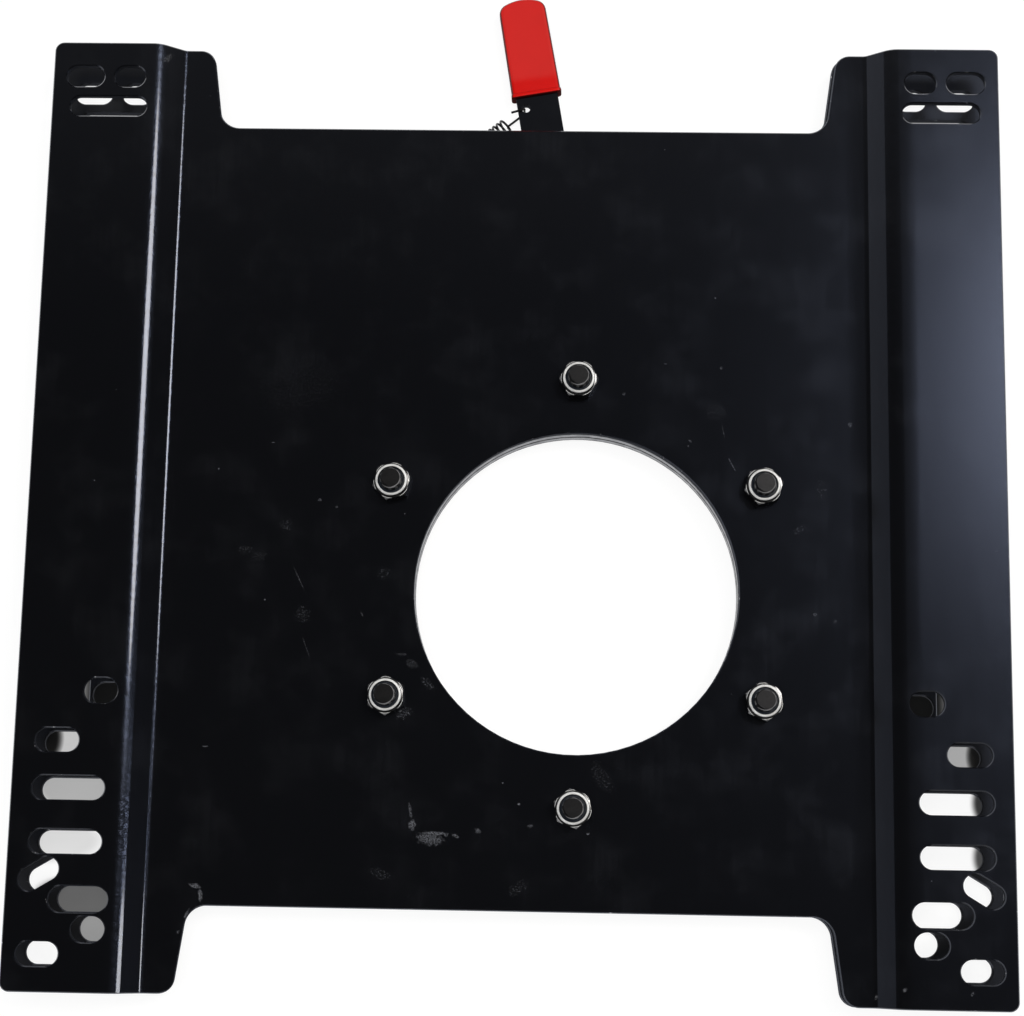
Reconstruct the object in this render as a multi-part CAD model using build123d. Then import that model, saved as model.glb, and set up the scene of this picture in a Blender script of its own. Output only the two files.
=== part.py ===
from build123d import *
from math import cos, radians, sin, sqrt, tan
import os

# Swivel seat base for a camper van: two bent steel plates that turn on each other about a cable opening.
# Millimetres, +Z up. The origin is on the swivel axis, at the upper face of the top plate's centre panel.

# Sheet and plan of the two plates
sheet = 3.0
plate_width = 367.5
plate_length = 363.7
panel_length = 300.0
notch_floor_half = 118.0
notch_mouth_half = 122.4
outer_corner_r = 3.5
tab_corner_r = 6.0
notch_corner_r = 8.0

# Bends: the panel ends at panel_half, and the web climbs from there to the flange; radii are on the inside
panel_half = 133.4
joggle = 7.5
web_angle = 40.0
flange_bend_r = 5.5
panel_bend_r = 2.5

# Swivel axis, measured from the centre of each plate
top_axis_x = 23.2
base_axis_x = 24.0
axis_y = -31.6

# Side edges of the base plate are cut back between its two ends
waist_inset = 23.6
waist_near = 101.0
waist_far = 42.0
waist_corner_r = 6.0

# Slots in the flanges: inset from the flange's edge, distance from the plate's end, overall length, width, turn
narrow_slot = 8.8
wide_slot = 9.4
far_slot = 8.6
long_slot = 8.1
near_slots = [
    (31.2, 109.7, 12.8, wide_slot, 0.0),
    (15.9, 91.2, 16.5, narrow_slot, 0.0),
    (21.0, 73.7, 27.2, narrow_slot, 0.0),
    (21.0, 54.1, 27.2, narrow_slot, 0.0),
    (11.8, 42.3, 16.0, narrow_slot, -31.0),
    (26.7, 33.4, 22.2, wide_slot, 0.0),
    (30.9, 22.7, 12.7, wide_slot, 0.0),
    (12.8, 13.7, 15.8, narrow_slot, 0.0),
]
far_slots = [
    (12.6, 13.9, 14.9, far_slot, 0.0),
    (30.0, 13.9, 12.2, far_slot, 0.0),
    (22.1, 26.1, 29.9, long_slot, 0.0),
]
rim_chamfer = 0.4

# Turntable rings
opening_r = 61.0
bolt_inset = 19.85
bolt_land = 10.15
bearing_land = 13.0
retainer_thick = 5.0
slip_thick = 1.0
slip_overhang = 4.0
slip_margin = 1.0
running_gap = 0.3
stop_positions = 4

# Clamp screws and lock nuts
screw_count = 6
screw_r = 4.0
screw_length = 25.0
screw_hole_gap = 0.2
head_r = 8.0
socket_flats = 5.0
socket_depth = 3.0
tip_chamfer = 1.0
nut_flats = 13.0
nut_hex_height = 5.9
nut_height = 8.0
nut_chamfer = 0.7
collar_r = 5.8
collar_round = 0.7
collar_wall = 0.5
collar_lip = 0.3
thread_gap = 0.05
insert_height = 1.7
nut_turns = [14.0, 0.0, 15.0, 30.0, 40.0, 38.0]

# Release lever, its tooth and the notches that it locks in
lever_thick = 4.0
bar_width = 16.5
bar_lean = 10.0
bar_cross_x = -15.05
bar_end_r = 16.0
bar_corner_r = 3.0
elbow_y_gap = 15.0
elbow_r = 10.0
elbow_fillet = 8.0
pivot_x = 62.0
boss_r = 11.0
boss_gap = 2.7
lock_angle = 4.5
pull_angle = 3.0
tooth_engaged = 4.0
tooth_tip_half = 4.5
tooth_root_half = 5.6
notch_gap = 0.5
rim_gap = 0.8

# Dipped grip on the end of the bar
grip_start = 17.8
grip_length = 40.7
grip_wall = 1.2
grip_edge_r = 1.4
grip_lip = 0.3
grip_lip_length = 1.8

# Pivot of the lever
stud_r = 4.0
stud_head_r = 6.5
bush_r = 5.5
bush_flange_r = 8.0
bush_flange = 1.0
pivot_gap = 0.05
washer_r = 8.0
washer_thick = 1.0
clip_r = 6.4
clip_thick = 0.8
clip_gap_half = 2.2
clip_groove = 0.8
stud_end = 0.5

# Return spring between the bar and its post
spring_hole_along = 13.2
spring_hole_across = -5.0
spring_hole_r = 1.75
spring_hook_offset = 0.8
spring_angle = 39.0
spring_span = 32.0
spring_wire_r = 0.45
spring_mean_r = 2.6
spring_pitch = 1.9
spring_turns = 9
spring_leg = 5.4
spring_bend_r = 1.0
spring_tail = 5.4
spring_tail_turn = 22.0
post_r = 2.5
post_neck_r = 1.9
post_head_r = 4.0
post_foot = 0.9

# Pin that ends the lever's pull
stop_r = 3.0
stop_along = -37.5
stop_head_r = 4.5

# Distance under which two places count as the same one
hair = 0.01

# Heights, from the top plate down
top_under = -sheet
base_face = top_under - slip_thick
base_under = base_face - sheet
retainer_face = base_under - slip_thick
retainer_under = retainer_face - retainer_thick
lever_top = base_under - bush_flange
lever_under = lever_top - lever_thick

# Plan sizes that follow from the ones above
bolt_r = opening_r + bolt_inset
spacer_r = bolt_r + bolt_land
base_hole_r = spacer_r + running_gap
retainer_r = spacer_r + bearing_land
screw_hole_r = screw_r + screw_hole_gap
panel_far_y = panel_length / 2 - axis_y

# Points of the lever: where its bar passes the panel's edge, its elbow, its pivot and its spring hole
along = Vector(-sin(radians(bar_lean)), cos(radians(bar_lean)))
across = Vector(cos(radians(bar_lean)), sin(radians(bar_lean)))
bar_cross = Vector(bar_cross_x, panel_far_y)
elbow_y = retainer_r + elbow_y_gap
elbow = bar_cross - along * ((panel_far_y - elbow_y) / along.Y)
pivot_reach = retainer_r + boss_r + boss_gap
pivot = Vector(pivot_x, sqrt(pivot_reach**2 - pivot_x**2))
spring_hole = bar_cross + along * spring_hole_along + across * spring_hole_across

# Points of the spring: its axis runs from the post's side to the hole in the bar
spring_dir = Vector(cos(radians(spring_angle)), sin(radians(spring_angle)))
spring_side = Vector(spring_dir.Y, -spring_dir.X)
loop_r = post_neck_r + spring_wire_r + pivot_gap
spring_foot = spring_hole - spring_dir * spring_span
post = spring_foot + spring_side * loop_r
spring_axis_z = base_under - running_gap - spring_wire_r - spring_mean_r
spring_low_z = spring_axis_z - spring_mean_r


def turned(point, angle):
    """Point of the lever after it turns about its pivot."""
    return pivot + (point - pivot).rotate(Axis.Z, angle)


# Stop pin: it touches the bar's edge when the lever is pulled all the way
stop_edge = turned(bar_cross + along * stop_along + across * (bar_width / 2), -pull_angle)
stop = stop_edge + across.rotate(Axis.Z, -pull_angle) * (stop_r + running_gap)


def cylinder(radius, low, high, centre=Vector(0, 0)):
    """Upright cylinder between two heights."""
    return extrude(Pos(centre.X, centre.Y, low) * Circle(radius), high - low)


def cone(low_r, high_r, low, high, centre=Vector(0, 0)):
    """Upright cone between two heights."""
    middle = (low + high) / 2
    return Pos(centre.X, centre.Y, middle) * Cone(low_r, high_r, high - low)


def ring(outer_r, inner_r, low, high):
    """Flat ring about the swivel axis."""
    return cylinder(outer_r, low, high) - cylinder(inner_r, low, high)


def bolt_places():
    """Centres of the clamp screws."""
    return [p.position for p in PolarLocations(bolt_r, screw_count, start_angle=30)]


def bent_section():
    """Section of the bent sheet with its panel's face at height 0 and its flanges stepped up."""
    web_end = panel_half + joggle / tan(radians(web_angle))
    mitre = sheet * tan(radians(web_angle / 2))
    half = plate_width / 2
    face_run = [(half, joggle), (web_end, joggle), (panel_half, 0)]
    under_run = [(half, joggle - sheet), (web_end + mitre, joggle - sheet), (panel_half + mitre, -sheet)]
    upper = FilletPolyline(
        *[(-x, z) for x, z in face_run],
        *reversed(face_run),
        radius=[flange_bend_r + sheet, panel_bend_r, panel_bend_r, flange_bend_r + sheet],
    )
    lower = FilletPolyline(
        *[(-x, z) for x, z in under_run],
        *reversed(under_run),
        radius=[flange_bend_r, panel_bend_r + sheet, panel_bend_r + sheet, flange_bend_r],
    )
    ends = [Line(upper @ 0, lower @ 0), Line(upper @ 1, lower @ 1)]
    return make_face([upper, lower] + ends)


def rounded(outline, half_width, radius):
    """Outline with the corners at one distance from its centre line rounded."""
    corners = [v for v in outline.vertices() if abs(abs(v.X) - half_width) < hair]
    return fillet(corners, radius)


def plate_outline(waisted):
    """Plan of a plate: notched ends between tabs, and side edges that are straight or cut back."""
    half_width = plate_width / 2
    half_length = plate_length / 2
    waist_half = half_width - waist_inset
    waist_top = half_length - waist_far
    waist_bottom = waist_near - half_length
    cut_back = [
        (half_width, waist_top),
        (waist_half, waist_top),
        (waist_half, waist_bottom),
        (half_width, waist_bottom),
    ]
    right = [
        (notch_floor_half, panel_length / 2),
        (notch_mouth_half, half_length),
        (half_width, half_length),
        *(cut_back if waisted else []),
        (half_width, -half_length),
        (notch_mouth_half, -half_length),
        (notch_floor_half, -panel_length / 2),
    ]
    left = [(-x, y) for x, y in reversed(right)]
    outline = make_face(Polyline(*right, *left, close=True))
    outline = rounded(outline, half_width, outer_corner_r)
    outline = rounded(outline, notch_mouth_half, tab_corner_r)
    outline = rounded(outline, notch_floor_half, notch_corner_r)
    return rounded(outline, waist_half, waist_corner_r) if waisted else outline


def slot_pattern():
    """All flange slots, mirrored about the plate's centre line."""
    near = [(plate_width / 2 - i, d - plate_length / 2, n, w, a) for i, d, n, w, a in near_slots]
    far = [(plate_width / 2 - i, plate_length / 2 - d, n, w, a) for i, d, n, w, a in far_slots]
    cuts = []
    for x, y, length, width, angle in near + far:
        cuts += [Pos(x, y) * Rot(0, 0, angle) * SlotOverall(length, width)]
        cuts += [Pos(-x, y) * Rot(0, 0, -angle) * SlotOverall(length, width)]
    return Sketch() + cuts


def outer_rims(plate):
    """Outer edges of the sheet's two faces, without the lines where its bends begin and end."""
    faces = [f for f in plate.faces() if abs(f.normal_at().Z) > 0.5]
    edges = [e for f in faces for e in f.outer_wire().edges()]
    bends_half = plate_width / 2 - waist_inset - hair
    return [e for e in edges if abs((e % 0.5).Y) < 0.999 or abs(e.center().X) > bends_half]


def slot_rims(plate):
    """Edges round the slots, on both faces of the flanges."""
    heights = (joggle, joggle - sheet)
    faces = [f for f in plate.faces().filter_by(Axis.Z) if min(abs(f.center().Z - h) for h in heights) < hair]
    return [e for f in faces for w in f.inner_wires() for e in w.edges()]


def bent_plate(waisted):
    """Bent and slotted plate about its own centre, panel's face at height 0, flanges up, sharp rims broken."""
    blank = extrude(Plane.XZ * bent_section(), plate_length / 2, both=True)
    plan = plate_outline(waisted) - slot_pattern()
    depth = 2 * (joggle + sheet)
    plate = blank & extrude(plan, depth, both=True)
    return chamfer(outer_rims(plate) + slot_rims(plate), rim_chamfer)


def make_top_plate():
    """Turning plate that carries the seat."""
    plate = Pos(-top_axis_x, -axis_y) * bent_plate(waisted=False)
    plate -= cylinder(opening_r, -sheet, 0)
    plate -= cone(opening_r, opening_r + rim_chamfer, -rim_chamfer, 0)
    for centre in bolt_places():
        plate -= cylinder(screw_hole_r, -sheet, 0, centre)
    return plate


def make_base_plate():
    """Fixed plate that is bolted to the seat box: the same bends turned over."""
    plate = Pos(-base_axis_x, -axis_y, base_under) * mirror(bent_plate(waisted=True), about=Plane.XY)
    plate -= cylinder(base_hole_r, base_under, base_face)
    for centre, radius, head in (
        (pivot, stud_r, stud_head_r),
        (post, post_r, post_head_r),
        (stop, stop_r, stop_head_r),
    ):
        plate -= cylinder(radius, base_under, base_face, centre)
        plate -= cone(radius, head, base_face - (head - radius), base_face, centre)
    return plate


def make_spacer_ring():
    """Hub ring that fills the base plate's hole and keeps the turning faces apart."""
    hub = ring(spacer_r, opening_r, retainer_face, top_under)
    for centre in bolt_places():
        hub -= cylinder(screw_hole_r, retainer_face, top_under, centre)
    return hub


def tooth(gap):
    """Plan of the locking tooth at the far side of the rim, grown by a gap on its flanks and tip."""
    tip = retainer_r - tooth_engaged - gap
    root = retainer_r + elbow_y_gap / 2
    return make_face(
        Polyline(
            (tooth_root_half + gap, root),
            (tooth_tip_half + gap, tip),
            (-tooth_tip_half - gap, tip),
            (-tooth_root_half - gap, root),
            close=True,
        )
    )


def make_retaining_ring():
    """Turning ring under the base plate, with countersunk holes and notches for the lever's tooth."""
    plate = cylinder(retainer_r, retainer_under, retainer_face)
    plate = chamfer(plate.edges().filter_by(GeomType.CIRCLE), rim_chamfer)
    plate -= cylinder(opening_r, retainer_under, retainer_face)
    sink_r = head_r + screw_hole_gap
    sink_depth = sink_r - screw_hole_r
    for centre in bolt_places():
        plate -= cylinder(screw_hole_r, retainer_under, retainer_face, centre)
        plate -= cone(sink_r, screw_hole_r, retainer_under, retainer_under + sink_depth, centre)
    notch = extrude(Pos(0, 0, retainer_under) * tooth(notch_gap), retainer_thick)
    for place in range(stop_positions):
        plate -= Rot(0, 0, 360 * place / stop_positions) * notch
    return plate


def make_upper_slip_ring():
    """Plastic ring on the base plate, under the top plate."""
    return ring(retainer_r + slip_overhang, base_hole_r, base_face, top_under)


def make_lower_slip_ring():
    """Plastic ring between the base plate and the retaining ring."""
    return ring(retainer_r - slip_margin, base_hole_r, retainer_face, base_under)


def make_clamp_screws():
    """Countersunk screws that hold the retaining ring and the spacer to the top plate."""
    tip = retainer_under + screw_length
    screw = cylinder(screw_r, retainer_under, tip)
    screw = chamfer(screw.edges().group_by(Axis.Z)[-1], tip_chamfer)
    screw += cone(head_r, screw_r, retainer_under, retainer_under + head_r - screw_r)
    socket = RegularPolygon(socket_flats / 2, 6, major_radius=False)
    screw -= extrude(Pos(0, 0, retainer_under) * socket, socket_depth)
    return [Pos(c.X, c.Y) * screw for c in bolt_places()]


def make_lock_nuts():
    """Hexagon nuts with a crimped collar on top."""
    hexagon = extrude(RegularPolygon(nut_flats / 2, 6, major_radius=False), nut_hex_height)
    corner_r = nut_flats / sqrt(3)
    crown = cylinder(corner_r, 0, nut_hex_height)
    crown = chamfer(crown.edges().filter_by(GeomType.CIRCLE), nut_chamfer / 2, nut_chamfer)
    collar = cylinder(collar_r, 0, nut_height)
    collar = fillet(collar.edges().group_by(Axis.Z)[-1], collar_round)
    nut = (hexagon & crown) + collar
    nut -= cylinder(screw_r + thread_gap, 0, nut_height)
    seat_r = collar_r - collar_wall
    seat = nut_height - collar_round
    nut -= cylinder(seat_r, seat - insert_height, seat)
    nut -= cylinder(seat_r - collar_lip, seat, nut_height)
    places = zip(bolt_places(), nut_turns)
    return [Pos(c.X, c.Y) * Rot(0, 0, turn) * nut for c, turn in places]


def make_nut_inserts():
    """Plastic locking rings held inside the nuts' collars."""
    seat = nut_height - collar_round
    low = seat - insert_height
    insert = ring(collar_r - collar_wall, screw_r + thread_gap, low, seat)
    return [Pos(c.X, c.Y) * insert for c in bolt_places()]


def on_bar(plan):
    """Plan drawn about the bar's axis, brought to the bar; its origin goes to the panel's edge."""
    return Pos(bar_cross.X, bar_cross.Y) * Rot(0, 0, bar_lean) * plan


def bar_end(start, end, wall):
    """Plan of the bar from one distance past the panel's edge to its crowned end, grown by a wall."""
    side = bar_width / 2 + wall
    crown_r = bar_end_r + wall
    shoulder = end - crown_r + sqrt(crown_r**2 - side**2)
    sides = Polyline((-side, shoulder), (-side, start), (side, start), (side, shoulder))
    plan = make_face([sides, ThreePointArc((side, shoulder), (0, end), (-side, shoulder))])
    return on_bar(fillet(plan.vertices().group_by(Axis.Y)[-1], bar_corner_r + wall))


def lever_plan():
    """Plan of the lever: boss, arm round the rim, tooth, elbow and bar."""
    boss = Pos(pivot.X, pivot.Y) * Circle(boss_r)
    knee = Pos(elbow.X, elbow.Y) * Circle(elbow_r)
    arm = make_hull(boss.edges() + knee.edges())
    bar_start = -(panel_far_y - elbow_y) / along.Y
    plan = arm + bar_end(bar_start, grip_start + grip_length - grip_wall, 0)
    inner_corner = elbow + across * (bar_width / 2) + along * elbow_r
    plan = fillet(plan.vertices().sort_by_distance(inner_corner)[0], elbow_fillet)
    locked_axis = turned(Vector(0, 0), -lock_angle)
    for centre in (Vector(0, 0), locked_axis):
        plan -= Pos(centre.X, centre.Y) * Circle(retainer_r + rim_gap)
    locked_tooth = Pos(-pivot.X, -pivot.Y) * tooth(0)
    plan += Pos(pivot.X, pivot.Y) * Rot(0, 0, -lock_angle) * locked_tooth
    plan -= Pos(pivot.X, pivot.Y) * Circle(bush_r)
    return plan - Pos(spring_hole.X, spring_hole.Y) * Circle(spring_hole_r)


def make_release_lever():
    """Flat lever that locks the turntable, cut from one plate."""
    return extrude(Pos(0, 0, lever_under) * lever_plan(), lever_thick)


def make_lever_grip():
    """Soft grip dipped over the end of the bar, with a lip at its open end."""
    height = lever_thick + 2 * grip_wall
    low = lever_under - grip_wall
    sleeve = extrude(Pos(0, 0, low) * bar_end(grip_start, grip_start + grip_length, grip_wall), height)
    sleeve = fillet(sleeve.edges().filter_by(Axis.Z, reverse=True), grip_edge_r)
    lip_width = bar_width + 2 * (grip_wall + grip_lip)
    lip_plan = Pos(0, grip_start + grip_lip_length / 2) * Rectangle(lip_width, grip_lip_length)
    lip = extrude(Pos(0, 0, low - grip_lip) * on_bar(lip_plan), height + 2 * grip_lip)
    lip = fillet(lip.edges(), grip_lip_length / 3)
    return sleeve + lip - make_release_lever()


def make_pivot_stud():
    """Stud riveted flush into the base plate, grooved for its clip."""
    clip_top = lever_under - washer_thick
    low = clip_top - clip_thick - stud_end
    stud = cylinder(stud_r, low, base_face, pivot)
    stud += cone(stud_r, stud_head_r, base_face - (stud_head_r - stud_r), base_face, pivot)
    groove = cylinder(stud_r, clip_top - clip_thick, clip_top, pivot)
    return stud - (groove - cylinder(stud_r - clip_groove, clip_top - clip_thick, clip_top, pivot))


def make_pivot_bush():
    """Flanged plastic bush pressed into the lever."""
    bush = cylinder(bush_r, lever_under, lever_top, pivot)
    bush += cylinder(bush_flange_r, lever_top, base_under, pivot)
    return bush - cylinder(stud_r + pivot_gap, lever_under, base_under, pivot)


def make_pivot_washer():
    """Washer under the lever."""
    low = lever_under - washer_thick
    washer = cylinder(washer_r, low, lever_under, pivot)
    return washer - cylinder(stud_r + pivot_gap, low, lever_under, pivot)


def make_pivot_clip():
    """Open spring clip in the stud's groove."""
    high = lever_under - washer_thick
    low = high - clip_thick
    clip = cylinder(clip_r, low, high, pivot)
    clip -= cylinder(stud_r - clip_groove, low, high, pivot)
    mouth = Pos(pivot.X + clip_r, pivot.Y, low) * Rectangle(2 * clip_r, 2 * clip_gap_half)
    return clip - extrude(mouth, clip_thick)


def make_spring_post():
    """Grooved post riveted into the base plate, which holds the fixed end of the spring."""
    foot_top = spring_low_z - spring_wire_r - pivot_gap
    body = cylinder(post_r, foot_top - post_foot, base_face, post)
    body += cone(post_r, post_head_r, base_face - (post_head_r - post_r), base_face, post)
    neck_top = spring_low_z + spring_wire_r + pivot_gap
    groove = cylinder(post_r, foot_top, neck_top, post) - cylinder(post_neck_r, foot_top, neck_top, post)
    return body - groove


def make_lever_stop():
    """Pin riveted into the base plate beside the bar."""
    pin = cylinder(stop_r, lever_under, base_face, stop)
    return pin + cone(stop_r, stop_head_r, base_face - (stop_head_r - stop_r), base_face, stop)


def wire(path):
    """Round spring wire along a path."""
    section = Plane(origin=path @ 0, z_dir=path % 0) * Circle(spring_wire_r)
    return sweep(section, path=path, is_frenet=True)


def make_lever_spring():
    """Stretched extension spring: open coils, a hook through the bar and a loop round the post."""
    coil_length = spring_pitch * spring_turns
    coil_start = spring_foot + spring_dir * spring_leg
    base = Vector(coil_start.X, coil_start.Y, spring_axis_z)
    frame = Plane(origin=base, x_dir=(0, 0, -1), z_dir=spring_dir)
    coil = frame * wire(Helix(spring_pitch, coil_length, spring_mean_r))
    low = Vector(0, 0, spring_low_z)
    high = Vector(0, 0, lever_top + spring_wire_r + pivot_gap)
    coil_end = coil_start + spring_dir * coil_length
    bend = spring_hole - spring_dir * spring_hook_offset
    tail = bend - spring_dir.rotate(Axis.Z, -spring_tail_turn) * spring_tail
    hook = FilletPolyline(coil_end + low, bend + low, bend + high, tail + high, radius=spring_bend_r)
    leg = Line(coil_start + low, spring_foot + low)
    loop = JernArc(start=leg @ 1, tangent=leg % 1, radius=loop_r, arc_size=300)
    spring = coil + wire(hook) + wire(leg) + wire(loop)
    for joint in (coil_start + low, coil_end + low):
        spring += Pos(joint.X, joint.Y, joint.Z) * Sphere(spring_wire_r)
    return spring


makers = {
    "top_plate": make_top_plate,
    "base_plate": make_base_plate,
    "spacer_ring": make_spacer_ring,
    "retaining_ring": make_retaining_ring,
    "upper_slip_ring": make_upper_slip_ring,
    "lower_slip_ring": make_lower_slip_ring,
    "clamp_screws": make_clamp_screws,
    "lock_nuts": make_lock_nuts,
    "nut_inserts": make_nut_inserts,
    "release_lever": make_release_lever,
    "lever_grip": make_lever_grip,
    "pivot_stud": make_pivot_stud,
    "pivot_bush": make_pivot_bush,
    "pivot_washer": make_pivot_washer,
    "pivot_clip": make_pivot_clip,
    "spring_post": make_spring_post,
    "lever_stop": make_lever_stop,
    "lever_spring": make_lever_spring,
}

os.makedirs("parts", exist_ok=True)
for name, make in makers.items():
    made = make()
    solids = made if isinstance(made, list) else [made]
    shape = Compound(children=solids) if len(solids) > 1 else solids[0]
    shape.label = name
    export_step(shape, f"parts/{name}.step")
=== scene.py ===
from functools import cache, reduce
from math import cos, pi, radians, sin, sqrt, tau

import bmesh
import bpy
from bpy.props import FloatProperty, FloatVectorProperty, IntProperty, PointerProperty
from mathutils import Matrix, Vector

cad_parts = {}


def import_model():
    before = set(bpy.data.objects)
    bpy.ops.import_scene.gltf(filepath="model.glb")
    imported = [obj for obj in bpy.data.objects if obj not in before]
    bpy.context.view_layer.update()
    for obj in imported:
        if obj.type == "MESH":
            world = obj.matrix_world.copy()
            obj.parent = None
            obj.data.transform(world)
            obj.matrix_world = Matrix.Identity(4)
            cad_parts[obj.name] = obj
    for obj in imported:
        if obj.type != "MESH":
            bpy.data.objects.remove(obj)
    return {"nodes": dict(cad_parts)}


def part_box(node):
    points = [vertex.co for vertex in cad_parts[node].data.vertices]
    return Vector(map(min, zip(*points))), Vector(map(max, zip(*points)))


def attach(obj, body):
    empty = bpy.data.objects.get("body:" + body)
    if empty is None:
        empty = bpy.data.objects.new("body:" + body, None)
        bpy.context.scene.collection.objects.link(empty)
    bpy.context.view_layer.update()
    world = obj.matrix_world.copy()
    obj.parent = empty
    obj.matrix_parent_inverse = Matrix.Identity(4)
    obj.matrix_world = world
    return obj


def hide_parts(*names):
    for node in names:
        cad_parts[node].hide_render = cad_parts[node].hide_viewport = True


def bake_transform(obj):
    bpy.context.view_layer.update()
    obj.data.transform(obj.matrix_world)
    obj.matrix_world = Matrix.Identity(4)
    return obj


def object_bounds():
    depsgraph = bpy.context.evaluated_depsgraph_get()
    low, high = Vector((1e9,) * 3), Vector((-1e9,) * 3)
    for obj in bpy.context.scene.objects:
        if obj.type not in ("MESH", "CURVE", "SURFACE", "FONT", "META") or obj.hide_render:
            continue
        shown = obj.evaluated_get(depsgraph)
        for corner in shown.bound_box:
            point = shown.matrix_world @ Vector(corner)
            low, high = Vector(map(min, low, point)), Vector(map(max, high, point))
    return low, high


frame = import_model()
cad_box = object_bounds()

bl_info = {
    "name": "Swivel seat base",
    "version": (1, 0, 0),
    "blender": (4, 5, 0),
    "location": "3D View > Sidebar > Seat base",
    "description": "Finishes a camper van's swivel seat base: coated plates, bolted rings, release lever and stage",
    "category": "Object",
}

MM = 0.001

# Seats of the replaced pieces and the plate's middle, read from the frame
nut_low, nut_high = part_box("lock_nuts")
screw_low, screw_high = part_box("clamp_screws")
lever_low, lever_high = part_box("release_lever")
plate_middle = sum(corner.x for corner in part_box("top_plate")) / 2
floor_height = cad_box[0].z


def length(name, description, default):
    """Property for a length in metres."""
    return FloatProperty(
        name=name, description=description, default=default, unit="LENGTH", subtype="DISTANCE", precision=5
    )


def angle(name, description, default):
    """Property for an angle."""
    return FloatProperty(name=name, description=description, default=default, unit="ROTATION", subtype="ANGLE")


def share(name, description, default):
    """Property for a share between nothing and all."""
    return FloatProperty(name=name, description=description, default=default, subtype="FACTOR", min=0.0, max=1.0)


def power(name, description, default):
    """Property for a lamp's power."""
    return FloatProperty(name=name, description=description, default=default, unit="POWER")


def colour(name, description, default):
    """Property for a surface colour."""
    return FloatVectorProperty(
        name=name, description=description, default=default, subtype="COLOR", size=3, min=0.0, max=1.0
    )


class CoatSettings(bpy.types.PropertyGroup):
    """Black powder coat of the plates and the lever."""

    tone: colour("Coat", "Colour of the clean coat", (0.0021, 0.0021, 0.0024))
    dust_tone: colour("Dust", "Colour of dust and rubbed coat", (0.16, 0.162, 0.17))
    bare_tone: colour("Bare steel", "Colour where the coat has gone", (0.5, 0.5, 0.52))
    roughness: share("Roughness", "Roughness of the powder under the coat's skin", 0.2)
    glow: share("Powder glow", "How much the powder under the coat's skin shines", 0.55)
    glow_tone: colour("Powder glow colour", "Colour of the shine of the powder", (0.55, 0.66, 1.0))
    skin: share("Skin", "How much the coat's smooth skin shines", 0.8)
    skin_roughness: share("Skin roughness", "Roughness of the coat's smooth skin", 0.07)
    droop: angle("Flange droop", "How far the flanges lean down outside their bends", radians(1.0))
    spring_back: angle("Spring back", "How far the sheet already leans where a bend starts", radians(3.5))
    panel_half: length("Panel half", "Half the width of the panel between its bends", 133.4 * MM)
    flange_half: length("Flange start", "Distance of the flanges' bends from the middle", 145.4 * MM)
    grain: length("Powder grain", "Width of the bumps in the powder coat", 0.5 * MM)
    grain_depth: length("Grain depth", "Height of the bumps in the powder coat", 0.005 * MM)
    bend_grain: length("Bend grain", "How much higher the bumps are where the sheet was bent", 0.06 * MM)
    smudge_size: length("Smudge size", "Width of the hazy hand marks", 26 * MM)
    film: share("Dust film", "How much dust lies in the hazy hand marks", 0.03)
    specks: share("Specks", "How much dust lies in the specks", 0.4)
    base_dust: share("Base dust", "How much dust lies on the base plate", 0.1)
    rim_wear: share("Rim wear", "How much of the sharp rims is rubbed", 0.3)


class MetalSettings(bpy.types.PropertyGroup):
    """Bare and plated metals and the plastics beside them."""

    ring_tone: colour("Ring steel", "Colour of the turned rings", (0.15, 0.156, 0.178))
    zinc_tone: colour("Zinc", "Colour of the plated studs", (0.74, 0.74, 0.73))
    nut_tone: colour("Nut flats", "Colour of the nuts' dull flats", (0.2, 0.2, 0.205))
    # Painted highlight: the bright tone painted on the nuts' collars and hexagon corners
    painted_highlight_tone: colour("Nut collars", "Colour of the nuts' bright collars and corners", (0.95, 0.95, 0.94))
    screw_tone: colour("Screw steel", "Colour of the blackened screws", (0.06, 0.06, 0.064))
    rubbed_tone: colour("Rubbed steel", "Colour of the screws' rubbed edges", (0.32, 0.32, 0.33))
    wire_tone: colour("Spring steel", "Colour of the spring and the clip", (0.05, 0.05, 0.053))
    # Tone and reach of the dark bands where the rings meet
    joint_band_tone: colour("Grime", "Colour of the old grease between the rings", (0.02, 0.019, 0.017))
    joint_band_reach: length("Joint band reach", "How far the grease reaches from a joint", 0.95 * MM)
    slip_tone: colour("Slip plastic", "Colour of the sliding rings and the bush", (0.62, 0.6, 0.54))
    insert_tone: colour("Nut insert", "Colour of the locking rings in the nuts", (0.014, 0.018, 0.026))
    turned_pitch: length("Turned lines", "Distance between the lines that turning leaves", 0.25 * MM)


class FastenerSettings(bpy.types.PropertyGroup):
    """Six clamp screws with their lock nuts."""

    bolt_circle: length("Bolt circle", "Radius of the circle that the screws stand on", 80.85 * MM)
    first_angle: angle("First screw", "Place of the first screw, from the right", radians(30))
    flats: length("Across flats", "Width of the nut across its flats", 13 * MM)
    hex_height: length("Hexagon height", "Height of the nut's hexagon", 5.9 * MM)
    collar_r: length("Collar radius", "Outside radius of the nut's collar", 6.0 * MM)
    lip_r: length("Lip radius", "Radius of the opening in the collar", 4.9 * MM)
    insert_height: length("Insert height", "Height of the plastic ring in the nut", 1.7 * MM)
    screw_r: length("Screw radius", "Outside radius of the thread", 4 * MM)
    pitch: length("Thread pitch", "Climb of the thread in one turn", 1.25 * MM)
    head_r: length("Head radius", "Radius of the countersunk head", 8 * MM)
    socket_flats: length("Socket", "Width of the hexagon socket in the head", 5 * MM)
    socket_depth: length("Socket depth", "Depth of the hexagon socket", 3 * MM)
    tip_chamfer: length("Tip chamfer", "Chamfer at the end of the thread", 0.5 * MM)


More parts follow.
